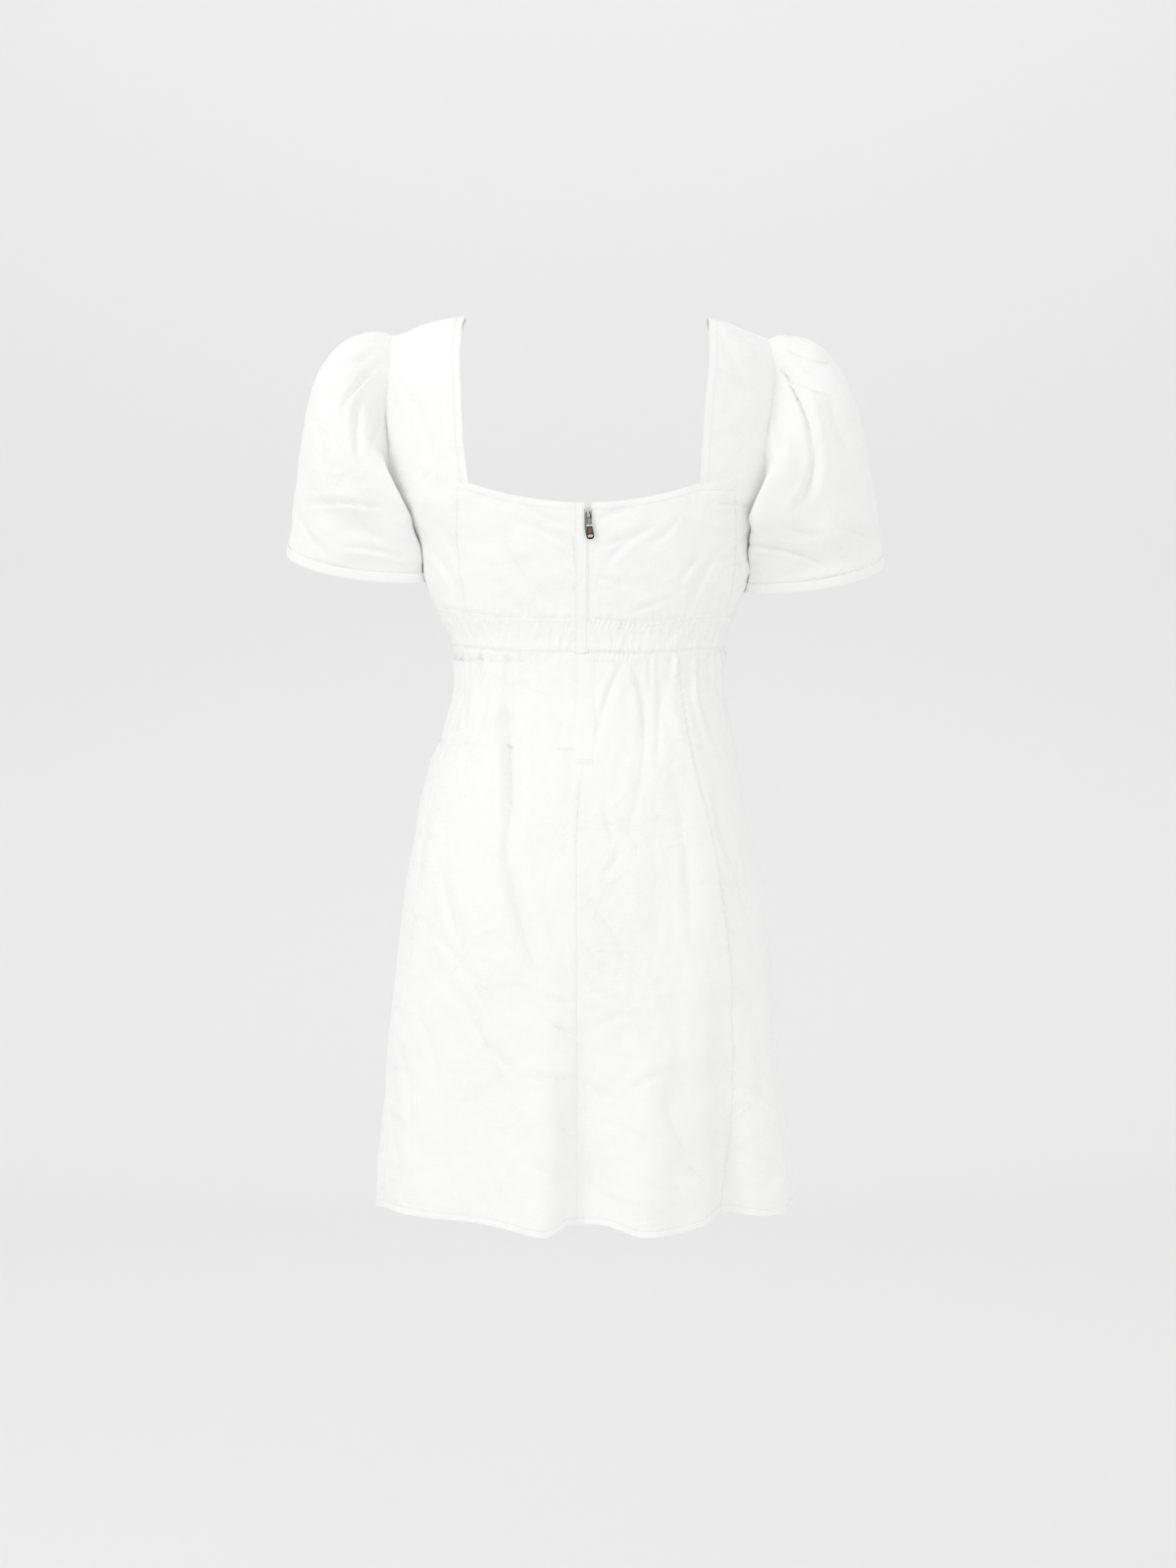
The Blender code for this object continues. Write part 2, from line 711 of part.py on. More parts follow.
def cuff_point(sleeve, turn, up, grow=0.0):
    """A point of the cuff ring, up from its lower edge along the arm."""
    down, inward, backward = arm_frame(sleeve.side)
    centre = Vector((sleeve.cuff_x, CUFF_Y, sleeve.cuff_z)) - up * down
    out = -inward * (CUFF_RADIUS_X + grow) * math.cos(turn)
    return centre + out + backward * (CUFF_RADIUS_Y + grow) * math.sin(turn)


def sleeve_spine(sleeve, ring, low, share, along):
    """A point of the plain sleeve: a curve from the armhole out over the arm and down to the cuff."""
    turn = 2 * math.pi * share
    side = Vector((sleeve.side, 0, 0))
    start = along_ring(ring, low, share) + side * ARMHOLE_GAP
    reach = by_height(sleeve.cap_reach, 0.036, 0.013, turn)
    rise = by_height(sleeve.cap_rise, 0.016, -0.012, turn)
    puff = -CAP_PUFF * math.sin(turn) * (1 + 0.3 * math.cos(turn))
    leave = start + side * reach + Vector((0, puff, rise))
    end = cuff_point(sleeve, turn, CUFF_HEIGHT + CUFF_GAP)
    down, _, _ = arm_frame(sleeve.side)
    clear = by_height(0, 0, 0.007, turn)
    arrive = end - down * by_height(0.090, 0.056, 0.014, turn) + side * clear + Vector((0, puff * 0.5, 0))
    back = 1 - along
    return (
        start * back**3
        + leave * 3 * back**2 * along
        + arrive * 3 * back * along**2
        + end * along**3
    )


def sleeve_offset(sleeve, share, along):
    """Gathers below the cap seam, and the dents where the sleeve creases."""
    degrees = 360 * share
    top = abs(turn_between(degrees, 0))
    zone = 1 - smoothstep(95, 130, top)
    fade = smoothstep(0, 0.14, along) * (1 - smoothstep(0.28, 0.62, along))
    turn = math.radians(degrees)
    drift = 1.9 + 0.6 * math.sin(3 * turn + 1.3 * sleeve.side) + 1.2 * along * math.sin(2 * turn)
    total = CAP_GATHER_DEPTH * zone * fade * math.cos(CAP_GATHERS * turn + drift)
    for dent in SLEEVE_DENTS:
        if dent.side == sleeve.side:
            aside = turn_between(degrees, dent.degrees) / dent.wide
            along_it = (along - dent.along) / dent.long
            still = smoothstep(0, 0.06, 1 - along)
            total += dent.depth * math.exp(-(aside**2) - along_it**2) * still
    return total


def add_sleeves(collection):
    for side, sleeve in SLEEVES.items():
        ring = armhole_ring(side)
        low = STRAP_ROWS + ARMHOLE_COLUMNS
        centres = []
        for row in range(SLEEVE_ROWS + 1):
            along = row / SLEEVE_ROWS
            points = [sleeve_spine(sleeve, ring, low, i / 16, along) for i in range(16)]
            centres.append(sum(points, Vector()) / 16)

        def place(column, row, sleeve=sleeve, ring=ring, low=low, centres=centres):
            share = column / SLEEVE_COLUMNS
            if sleeve.side < 0:
                share = 1 - share
            share %= 1.0
            along = row / SLEEVE_ROWS
            point = sleeve_spine(sleeve, ring, low, share, along)
            outward = (point - centres[row]).normalized()
            return point + outward * sleeve_offset(sleeve, share, along)

        grid_surface(
            f"sleeve_{side}", SLEEVE_COLUMNS, SLEEVE_ROWS, place, "cotton", collection, closed=True
        )


def add_cuffs(collection):
    for side, sleeve in SLEEVES.items():

        def place(column, row, sleeve=sleeve):
            turn = 2 * math.pi * column / CUFF_COLUMNS
            turn = turn if sleeve.side > 0 else -turn
            return cuff_point(sleeve, turn, CUFF_HEIGHT * (1 - row))

        grid_surface(f"cuff_{side}", CUFF_COLUMNS, 1, place, "cotton", collection, closed=True)


def add_waistband(collection):
    def place(column, row):
        share, rise = column / BAND_COLUMNS, row / BAND_ROWS
        z = (WAIST_TOP + WAIST_BOTTOM) / 2
        for _ in range(3):
            start = back_angle(centre_back(z, "right"), z)
            end = back_angle(centre_back(z, "left"), z) + 360
            degrees = mix(start, end, share)
            bottom = waist_level(degrees, "bottom") + WAIST_GAP / 2
            top = waist_level(degrees, "top") - WAIST_GAP / 2
            z = mix(bottom, top, rise)
        return body_point(degrees, z, relief="band")

    grid_surface("waistband", BAND_COLUMNS, BAND_ROWS, place, "cotton", collection)


# Shares of the way from the waist to the hem, closer together where the gathers are
SKIRT_ROWS = (0.0, 0.020, 0.050, 0.090, 0.135, 0.190, 0.285, 0.42, 0.60, 0.80, 1.0)


def skirt_place(edges, columns):
    """place() of a skirt panel between the angles that edges(z) gives, waist at the top row."""
    last = len(SKIRT_ROWS) - 1

    def place(column, row):
        share, fall = column / columns, SKIRT_ROWS[last - row]
        z = mix(WAIST_BOTTOM, HEM, fall)
        for _ in range(4):
            low, high = edges(z)
            degrees = mix(low, high, share)
            z = mix(waist_level(degrees, "bottom") - WAIST_GAP / 2, hem_level(degrees), fall)
        return body_point(degrees, z, relief="skirt")

    return place


def add_skirt(collection):
    def left_edges(z):
        seam = seam_angle(SIDE_SEAMS, "left", z)
        return seam + seam_shift(z, seam, SEAM_GAP), back_angle(centre_back(z, "left"), z)

    def right_edges(z):
        seam = seam_angle(SIDE_SEAMS, "right", z)
        return back_angle(centre_back(z, "right"), z), seam - seam_shift(z, seam, SEAM_GAP)

    def front_edges(z):
        right = seam_angle(SIDE_SEAMS, "right", z)
        left = seam_angle(SIDE_SEAMS, "left", z)
        near = seam_shift(z, right, SEAM_GAP)
        return right + near, left + 360 - near

    panels = (
        ("skirt_back_left", left_edges, SKIRT_BACK_COLUMNS),
        ("skirt_back_right", right_edges, SKIRT_BACK_COLUMNS - 4),
        ("skirt_front", front_edges, SKIRT_FRONT_COLUMNS),
    )
    for name, edges, columns in panels:
        place = skirt_place(edges, columns)
        grid_surface(name, columns, len(SKIRT_ROWS) - 1, place, "cotton", collection)


def back_levels(top, bottom):
    """Levels of every cloth row at the middle of the back from top down to bottom."""
    low = waist_level(0, "top") + WAIST_GAP / 2
    levels = [mix(NECK_MIDDLE, low, row / BODICE_ROWS) for row in range(BODICE_ROWS + 1)]
    band_top, band_bottom = WAIST_TOP - WAIST_GAP / 2, WAIST_BOTTOM + WAIST_GAP / 2
    levels += [mix(band_top, band_bottom, row / BAND_ROWS) for row in range(BAND_ROWS + 1)]
    levels += [mix(WAIST_BOTTOM - WAIST_GAP / 2, hem_level(0), share) for share in SKIRT_ROWS]
    inside = [z for z in levels if bottom + 0.0004 < z < top - 0.0004]
    return [bottom, *sorted(inside), top]


def add_strip(name, edges, levels, lift, wall, finish, collection, columns=2):
    """A strip that follows the back between the x that edges(z) gives, a row at each level."""

    def place(column, row):
        z = levels[row]
        low, high = edges(z)
        relief = "bodice" if z > WAIST_TOP else "band" if z > WAIST_BOTTOM else "skirt"
        degrees = back_angle(mix(low, high, column / columns), z)
        return body_point(degrees, z, lift=lift, relief=relief)

    grid_surface(name, columns, len(levels) - 1, place, finish, collection, wall=wall)


def placket_edges(z):
    """The placket narrows beside the slider, which stands next to its free edge."""
    beside_slider = PIVOT_Z + SLIDER_BOTTOM - 0.004
    narrow = ZIP_X - SLIDER_WIDTH / 2 - 0.0006
    return PLACKET_LEFT, mix(PLACKET_RIGHT, narrow, smoothstep(beside_slider - 0.020, beside_slider, z))


def add_zip_cloth(collection):
    on_cloth = SEAM_GAP + PLACKET_THICK
    placket_end = WAIST_BOTTOM + WAIST_GAP / 2
    levels = back_levels(NECK_MIDDLE, placket_end)
    add_strip("zip_placket", placket_edges, levels, on_cloth, PLACKET_THICK, "cotton", collection)
    levels = back_levels(WAIST_BOTTOM - WAIST_GAP / 2, TAPE_END)
    add_strip(
        "skirt_placket",
        lambda z: (PLACKET_LEFT, LAP_RIGHT),
        levels,
        on_cloth,
        PLACKET_THICK,
        "cotton",
        collection,
    )
    add_strip(
        "zip_tape",
        lambda z: (ZIP_X - TAPE_WIDTH / 2, ZIP_X + TAPE_WIDTH / 2),
        back_levels(ZIP_TOP, TAPE_END),
        -(WALL + SEAM_GAP),
        TAPE_THICK,
        "tape",
        collection,
    )
    add_strip(
        "zip_chain",
        lambda z: (ZIP_X - CHAIN_WIDTH / 2, ZIP_X + CHAIN_WIDTH / 2),
        back_levels(ZIP_TOP, CHAIN_END),
        0,
        CHAIN_THICK,
        "zip_metal",
        collection,
        columns=1,
    )


def box(name, low, high, collection, bevel=0.0):
    mesh = bpy.data.meshes.new(name)
    shape = bmesh.new()
    bmesh.ops.create_cube(shape, size=1)
    size = Vector(high) - Vector(low)
    centre = (Vector(high) + Vector(low)) / 2
    bmesh.ops.transform(
        shape, matrix=Matrix.Translation(centre) @ Matrix.Diagonal((*size, 1)), verts=shape.verts
    )
    shape.to_mesh(mesh)
    shape.free()
    obj = bpy.data.objects.new(name, mesh)
    collection.objects.link(obj)
    if bevel:
        rounding = obj.modifiers.new("Rounded edges", "BEVEL")
        rounding.width = bevel
        rounding.segments = 2
    return obj


def join_cutter(obj, cutter, operation):
    cutter.hide_render = True
    cutter.display_type = "WIRE"
    boolean = obj.modifiers.new(cutter.name, "BOOLEAN")
    boolean.operation = operation
    boolean.object = cutter


def mesh_from_curve(curve_object, name, collection):
    """The curve as a closed mesh object, its caps welded."""
    bpy.context.view_layer.update()
    graph = bpy.context.evaluated_depsgraph_get()
    mesh = bpy.data.meshes.new_from_object(curve_object.evaluated_get(graph))
    shape = bmesh.new()
    shape.from_mesh(mesh)
    bmesh.ops.remove_doubles(shape, verts=shape.verts, dist=1e-6)
    bmesh.ops.recalc_face_normals(shape, faces=shape.faces)
    shape.to_mesh(mesh)
    shape.free()
    made = bpy.data.objects.new(name, mesh)
    made.matrix_world = curve_object.matrix_world
    collection.objects.link(made)
    bpy.data.objects.remove(curve_object, do_unlink=True)
    return made


def pivot_place():
    """The pull tab's hinge point, in front of the closed zip's top end."""
    cloth = body_point(back_angle(ZIP_X, PIVOT_Z), PIVOT_Z)
    return Vector((ZIP_X, cloth.y - SEAM_GAP - SLIDER_PLATE - PIVOT_LIFT, PIVOT_Z))


def add_slider(collection, cutters):
    pivot = pivot_place()
    face = pivot.y + PIVOT_LIFT
    under = face + SLIDER_PLATE
    behind = under + SEAM_GAP + WALL + SEAM_GAP + TAPE_THICK + BACK_PLATE_GAP
    half = SLIDER_WIDTH / 2
    top, bottom = pivot.z + SLIDER_TOP, pivot.z + SLIDER_BOTTOM
    slider = box(
        "zip_slider", (pivot.x - half, face, bottom), (pivot.x + half, under, top), collection, 0.0003
    )
    slider.data.materials.append(material("zip_metal"))
    post = box(
        "slider_post",
        (pivot.x - POST_WIDTH / 2, under - 0.0005, top - POST_HEIGHT - 0.0001),
        (pivot.x + POST_WIDTH / 2, behind + 0.0005, top - 0.0001),
        cutters,
    )
    back_plate = box(
        "slider_back_plate",
        (pivot.x - half + BACK_PLATE_INSET, behind, bottom + 2 * BACK_PLATE_INSET),
        (pivot.x + half - BACK_PLATE_INSET, behind + BACK_PLATE_THICK, top - BACK_PLATE_INSET / 3),
        cutters,
    )
    curve = bpy.data.curves.new("bridge_wire", "CURVE")
    curve.dimensions = "3D"
    curve.bevel_depth = BRIDGE_WIRE
    curve.bevel_resolution = 1
    curve.use_fill_caps = True
    spline = curve.splines.new("POLY")
    steps = 8
    spline.points.add(steps + 2)
    inside = Vector((pivot.x, face + 0.0005, 0))
    route = [inside + Vector((0, 0, pivot.z + BRIDGE_REACH))]
    for i in range(steps + 1):
        turn = math.pi * i / steps
        out = face - (PIVOT_LIFT + BRIDGE_HEIGHT) * math.sin(turn)
        route.append(Vector((pivot.x, out, pivot.z + BRIDGE_REACH * math.cos(turn))))
    route.append(inside + Vector((0, 0, pivot.z - BRIDGE_REACH)))
    for point, place in zip(spline.points, route):
        point.co = (*place, 1)
    wire = bpy.data.objects.new("bridge_wire", curve)
    cutters.objects.link(wire)
    bridge = mesh_from_curve(wire, "slider_bridge", cutters)
    for piece in (post, back_plate, bridge):
        join_cutter(slider, piece, "UNION")


# The pull tab's outline, as half its width at each distance below the hinge
PullWidth = namedtuple("PullWidth", "below half")
PULL_OUTLINE = (
    PullWidth(-0.0005, 0.0019),
    PullWidth(0.0003, 0.0022),
    PullWidth(0.0042, 0.0022),
    PullWidth(0.0050, 0.0016),
    PullWidth(0.0062, 0.0019),
    PullWidth(0.0080, 0.0024),
    PullWidth(0.0122, 0.0024),
    PullWidth(0.0190, 0.0032),
    PullWidth(0.0212, 0.0033),
    PullWidth(0.0228, 0.0026),
    PullWidth(0.0235, 0.0014),
)
LOOP_CENTRE = 0.0204
LOOP_RADIUS_X = 0.0023
LOOP_RADIUS_Z = 0.0014
LOOP_STEPS = 12


def add_pull(collection, cutters):
    pivot = pivot_place()
    curve = bpy.data.curves.new("zip_pull_outline", "CURVE")
    curve.dimensions = "2D"
    curve.fill_mode = "BOTH"
    curve.extrude = PULL_THICK / 2
    right = [(row.half, -row.below) for row in PULL_OUTLINE]
    outline = right + [(-x, y) for x, y in reversed(right)]
    eye_top, eye_bottom = -EYE_RIM, -EYE_LENGTH
    half = EYE_WIDTH / 2
    eye = [(-half, eye_top), (-half, eye_bottom), (half, eye_bottom), (half, eye_top)]
    loop = []
    for i in range(LOOP_STEPS):
        turn = 2 * math.pi * i / LOOP_STEPS
        loop.append((LOOP_RADIUS_X * math.cos(turn), LOOP_RADIUS_Z * math.sin(turn) - LOOP_CENTRE))
    for points in (outline, eye, loop):
        spline = curve.splines.new("POLY")
        spline.points.add(len(points) - 1)
        spline.use_cyclic_u = True
        for point, (x, y) in zip(spline.points, points):
            point.co = (x, y, 0, 1)
    flat = bpy.data.objects.new("zip_pull_outline", curve)
    cutters.objects.link(flat)
    upright = Matrix.Rotation(math.pi / 2, 4, "X") @ Matrix.Rotation(PULL_TILT, 4, "Z")
    flat.matrix_world = Matrix.Translation(pivot) @ upright
    pull = mesh_from_curve(flat, "zip_pull", collection)
    pull.data.materials.clear()
    pull.data.materials.append(material("zip_metal"))


def build():
    clear_scene()
    dress = new_collection("puff_sleeve_dress")
    cutters = new_collection("cutters")
    add_back_panels(dress)
    add_side_panels(dress)
    add_front_panel(dress)
    add_straps(dress)
    add_waistband(dress)
    add_skirt(dress)
    add_sleeves(dress)
    add_cuffs(dress)
    add_zip_cloth(dress)
    add_slider(dress, cutters)
    add_pull(dress, cutters)


build()
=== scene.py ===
# %% [markdown]
# # A puff sleeve dress in white cotton
# The dress hangs in the air as if it were worn: a hollow shell of thin cloth. The sizes below are
# the ones that its solids were cut to, so each shell can lie on its solid and add what a solid is
# too coarse for: gathers, drag folds, puckered seams, stitches and zip teeth.

# %% Load the frame
import json
import math
from collections import namedtuple

import bmesh
import bpy
import numpy as np
from mathutils import Matrix, Vector

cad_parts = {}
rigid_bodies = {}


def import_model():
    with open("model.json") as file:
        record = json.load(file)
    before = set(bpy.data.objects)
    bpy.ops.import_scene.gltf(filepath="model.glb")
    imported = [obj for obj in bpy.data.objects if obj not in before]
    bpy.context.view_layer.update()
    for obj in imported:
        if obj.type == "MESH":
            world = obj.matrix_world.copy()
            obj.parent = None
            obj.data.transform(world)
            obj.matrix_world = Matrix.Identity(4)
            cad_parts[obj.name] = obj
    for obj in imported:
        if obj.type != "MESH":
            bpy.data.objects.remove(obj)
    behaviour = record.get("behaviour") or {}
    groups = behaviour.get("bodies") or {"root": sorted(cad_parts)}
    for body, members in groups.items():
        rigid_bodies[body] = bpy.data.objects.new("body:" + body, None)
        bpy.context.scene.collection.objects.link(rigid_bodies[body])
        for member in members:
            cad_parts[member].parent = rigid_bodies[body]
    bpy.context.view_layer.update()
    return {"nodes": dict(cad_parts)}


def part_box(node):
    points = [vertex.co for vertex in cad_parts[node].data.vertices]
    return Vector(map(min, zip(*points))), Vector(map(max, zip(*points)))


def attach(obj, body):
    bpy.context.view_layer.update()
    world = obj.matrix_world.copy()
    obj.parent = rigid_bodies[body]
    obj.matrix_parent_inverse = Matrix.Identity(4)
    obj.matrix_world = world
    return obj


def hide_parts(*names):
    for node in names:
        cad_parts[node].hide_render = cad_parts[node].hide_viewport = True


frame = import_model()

# %% [markdown]
# ## Three steps that come back
# Most pieces start as a bmesh or a curve, become a mesh, and are then linked into the scene. Each
# step is one small function, so that the cells below only tell what is special to a piece.


# %% Mesh and object helpers
def mesh_from(name, shape):
    """A mesh with the bmesh's shape; the bmesh is freed."""
    mesh = bpy.data.meshes.new(name)
    shape.to_mesh(mesh)
    shape.free()
    return mesh


def welded(mesh):
    """A bmesh of the mesh, with points at the same place joined."""
    shape = bmesh.new()
    shape.from_mesh(mesh)
    bmesh.ops.remove_doubles(shape, verts=shape.verts, dist=1e-6)
    return shape


def linked(name, data):
    """A new object in the scene."""
    obj = bpy.data.objects.new(name, data)
    bpy.context.scene.collection.objects.link(obj)
    return obj


def worked_out(obj):
    """A plain mesh of the object as it looks, with its modifiers or its bevel applied."""
    bpy.context.view_layer.update()
    graph = bpy.context.evaluated_depsgraph_get()
    return bpy.data.meshes.new_from_object(obj.evaluated_get(graph))


def table(row, *lines):
    """Rows with named columns."""
    return [row(*line) for line in lines]


print("helpers ready")

# %% [markdown]
# ## Sizes of the dress
# Metres, with +Z up and the back of the dress facing -Y. Levels are counted down from the top of
# the straps. An angle round the body is 0 at the middle of the back and grows towards +X.

# %% Named sizes
THIN = 0.0006  # how thick the cloth is drawn
ROUNDNESS = 2.3
STRAP_ROUNDNESS = 2.9
STRAP_SEAM = -0.152
FRONT_STRAP_SEAM = -0.178
UNDERARM = -0.190
NECK_MIDDLE = -0.1695
FRONT_NECK_MIDDLE = -0.190
WAIST_TOP = -0.2725
WAIST_BOTTOM = -0.3025
HEM = -0.815
ZIP_X = 0.0020
ZIP_TOP = -0.1760
ZIP_END = -0.392
TAPE_END = -0.400
CHAIN_END = -0.374
TAPE_WIDTH = 0.024
PLACKET_LEFT = -0.0099
PLACKET_RIGHT = 0.0018
LAP_RIGHT = 0.0085
PIVOT_Z = -0.1785  # the slider's bridge, which the pull tab hangs from
SLIDER_WIDTH = 0.0056
SLIDER_REACH = 0.0054  # from the pivot down to the slider's lower end
CUFF_HEIGHT = 0.009
CUFF_RADIUS_X = 0.0618
CUFF_RADIUS_Y = 0.055
CUFF_Y = 0.030
CAP_PUFF = 0.046
ARM_OUT = math.radians(10)
ARM_FORWARD = math.radians(13)
SIGN = {"left": -1, "right": 1}  # of x, and of angles round the body

Section = namedtuple("Section", "z left right back front")
SECTIONS = table(
    Section,
    (-0.152, 0.188, 0.178, 0.104, 0.106),
    (-0.164, 0.184, 0.174, 0.105, 0.111),
    (-0.178, 0.173, 0.165, 0.106, 0.115),
    (-0.205, 0.155, 0.154, 0.1045, 0.121),
    (-0.237, 0.148, 0.149, 0.100, 0.120),
    (-0.265, 0.137, 0.138, 0.094, 0.110),
    (-0.295, 0.122, 0.127, 0.088, 0.098),
    (-0.331, 0.120, 0.125, 0.087, 0.096),
    (-0.372, 0.128, 0.132, 0.097, 0.098),
    (-0.410, 0.144, 0.140, 0.110, 0.102),
    (-0.453, 0.154, 0.147, 0.122, 0.106),
    (-0.503, 0.162, 0.157, 0.130, 0.110),
    (-0.543, 0.168, 0.165, 0.133, 0.114),
    (-0.588, 0.174, 0.170, 0.134, 0.119),
    (-0.681, 0.184, 0.177, 0.134, 0.128),
    (-0.770, 0.190, 0.188, 0.137, 0.136),
    (-0.815, 0.193, 0.190, 0.140, 0.140),
)
Seam = namedtuple("Seam", "z left right")
PRINCESS_SEAMS = table(
    Seam,
    (-0.152, -0.115, 0.134),
    (-0.200, -0.117, 0.136),
    (-0.245, -0.112, 0.133),
    (-0.280, -0.106, 0.124),
)
SIDE_SEAMS = table(
    Seam,
    (-0.300, -0.119, 0.082),
    (-0.394, -0.134, 0.096),
    (-0.462, -0.148, 0.1125),
    (-0.516, -0.153, 0.123),
    (-0.606, -0.161, 0.133),
    (-0.723, -0.178, 0.138),
    (-0.815, -0.186, 0.132),
)
Centre = namedtuple("Centre", "z x")
CENTRE_BACK = table(
    Centre,
    (-0.150, ZIP_X),
    (-0.385, ZIP_X),
    (-0.417, -0.0050),
    (-0.470, -0.0085),
    (-0.815, -0.0085),
)
StrapEdge = namedtuple("StrapEdge", "rise left_inner left_outer right_inner right_outer")
BACK_STRAP = table(
    StrapEdge,
    (0.00, 0.1040, 0.1770, 0.1010, 0.1600),
    (0.25, 0.1085, 0.1775, 0.1035, 0.1610),
    (0.50, 0.1105, 0.1800, 0.1065, 0.1660),
    (0.75, 0.1120, 0.1770, 0.1100, 0.1700),
    (1.00, 0.1095, 0.1750, 0.1105, 0.1660),
)
FRONT_STRAP = table(
    StrapEdge,
    (0.00, 0.1160, 0.1520, 0.1125, 0.1460),
    (0.25, 0.1172, 0.1560, 0.1130, 0.1500),
    (0.50, 0.1190, 0.1640, 0.1150, 0.1570),
    (0.75, 0.1198, 0.1710, 0.1172, 0.1630),
    (0.92, 0.1170, 0.1738, 0.1160, 0.1652),
    (1.00, 0.1095, 0.1750, 0.1105, 0.1660),
)
ShoulderLine = namedtuple("ShoulderLine", "x left right")
SHOULDER_LINE = table(
    ShoulderLine,
    (0.105, 0.000, -0.001),
    (0.126, -0.002, -0.005),
    (0.148, -0.008, -0.0135),
    (0.166, -0.015, -0.0205),
    (0.184, -0.019, -0.0230),
)
Waist = namedtuple("Waist", "degrees top bottom")
WAIST_LINE = table(
    Waist,
    (-180, 0.000, 0.000),
    (-120, 0.004, 0.002),
    (-75, 0.008, 0.004),
    (-30, 0.000, 0.000),
    (5, 0.000, 0.000),
    (30, -0.004, -0.001),
    (60, 0.003, 0.001),
    (120, 0.004, 0.002),
    (180, 0.000, 0.000),
)
Sleeve = namedtuple("Sleeve", "side cuff_x cuff_z cap_reach cap_rise")
SLEEVES = {
    "left": Sleeve(-1, -0.2142, -0.2250, 0.088, 0.018),
    "right": Sleeve(1, 0.2140, -0.2345, 0.085, 0.0225),
}
print("sections:", len(SECTIONS), "from", SECTIONS[0].z, "down to", SECTIONS[-1].z)

# %% [markdown]
# ## Curves through the tables
# Every table is read as a smooth curve that never overshoots its rows, so the cloth has no kinks
# between two sections. All helpers take whole arrays of points at once, which keeps a fine mesh
# quick to make.


# %% Curve helpers
def curve_through(rows, column):
    """A function for one column of a table, read at any value of the table's first column."""
    rows = sorted(rows)
    places = np.array([row[0] for row in rows], float)
    values = np.array([getattr(row, column) for row in rows], float)
    slopes = np.diff(values) / np.diff(places)
    tangents = np.empty(len(rows))
    tangents[0], tangents[-1] = slopes[0], slopes[-1]
    before, after = slopes[:-1], slopes[1:]
    same_way = before * after > 0
    total = np.where(same_way, before + after, 1.0)
    tangents[1:-1] = np.where(same_way, 2 * before * after / total, 0.0)

    def value(at):
        at = np.clip(at, places[0], places[-1])
        i = np.clip(np.searchsorted(places, at, side="right") - 1, 0, len(rows) - 2)
        step = places[i + 1] - places[i]
        t = (at - places[i]) / step
        return (
            values[i] * (1 + 2 * t) * (1 - t) ** 2
            + tangents[i] * step * t * (1 - t) ** 2
            + values[i + 1] * t * t * (3 - 2 * t)
            + tangents[i + 1] * step * t * t * (t - 1)
        )

    return value


def smoothstep(low, high, value):
    t = np.clip((value - low) / (high - low), 0.0, 1.0)
    return t * t * (3 - 2 * t)


def mix(a, b, t):
    return a + (b - a) * t


def turn_between(a, b):
    return (a - b + 180) % 360 - 180


def stacked(x, y, z):
    return np.stack(np.broadcast_arrays(x, y, z), axis=-1).astype(float)


half_size = {c: curve_through(SECTIONS, c) for c in ("left", "right", "back", "front")}
waist_rise = {c: curve_through(WAIST_LINE, c) for c in ("top", "bottom")}
centre_line = curve_through(CENTRE_BACK, "x")
print("half width at the hem:", float(half_size["right"](HEM)))

# %% [markdown]
# ## The body of the dress
# A level section is a superellipse: fuller than an ellipse, but with no corners. Two functions
# turn a place on the cloth, an angle and a level, into a point, and a seam's x into its angle.


# %% Body surface
def body_point(degrees, z, lift=0.0):
    turn = np.radians(degrees)
    across, back = np.sin(turn), np.cos(turn)
    width = np.where(across > 0, half_size["right"](z), half_size["left"](z))
    depth = np.where(back > 0, half_size["back"](z), half_size["front"](z))
    shape = (np.abs(across) / width) ** ROUNDNESS + (np.abs(back) / depth) ** ROUNDNESS
    radius = shape ** (-1 / ROUNDNESS) + lift
    return stacked(radius * across, -radius * back, z)


def angle_of(x, z, face):
    """The angle at which the back or the front of the dress has this x."""
    width = np.where(np.asarray(x) > 0, half_size["right"](z), half_size["left"](z))
    share = np.minimum(np.abs(x) / width, 0.9999)
    reach = half_size[face](z) * (1 - share**ROUNDNESS) ** (1 / ROUNDNESS)
    return np.degrees(np.arctan2(x, reach if face == "back" else -reach))


def radius_at(degrees, z):
    """How far the plain surface is from the middle line at this level."""
    return np.hypot(*np.moveaxis(body_point(degrees, z)[..., :2], -1, 0))


def waist_level(degrees, column):
    base = WAIST_TOP if column == "top" else WAIST_BOTTOM
    return base + waist_rise[column](turn_between(degrees, 0))


def seam_angle(seams, side, z):
    return angle_of(curve_through(seams, side)(z), z, "back")


print("back at the waist:", body_point(0.0, WAIST_TOP))

# %% [markdown]
# ## Relief in the cloth
# Four kinds of relief are pushed out of the plain surface along its normals:
# - creases, drawn one by one, soft on one side and steep on the other;
# - gathers, that start at a seam and fade away from it;
# - swells and crumples, sums of slow waves through space, so they run on across seams;
# - seams, a narrow valley with small puckers beside it.
#
# The crease tables count in steps of 0.9 mm, right and down, as seen from the camera's place.

# %% Crease, swell and seam helpers
STEP = 0.0009
MIDDLE_COLUMN, TOP_ROW = 598, 327
EYE = Vector((0.002, -3.0, -0.21))
STEEP = 1.7  # how much narrower a crease is on its steep side
PUCKER_PITCH, PUCKER_HEIGHT, PUCKER_REACH = 0.0068, 0.00050, 0.0060
VALLEY_DEPTH, VALLEY_WIDTH = 0.00030, 0.0012
Crease = namedtuple("Crease", "column row to_column to_row bow width depth")


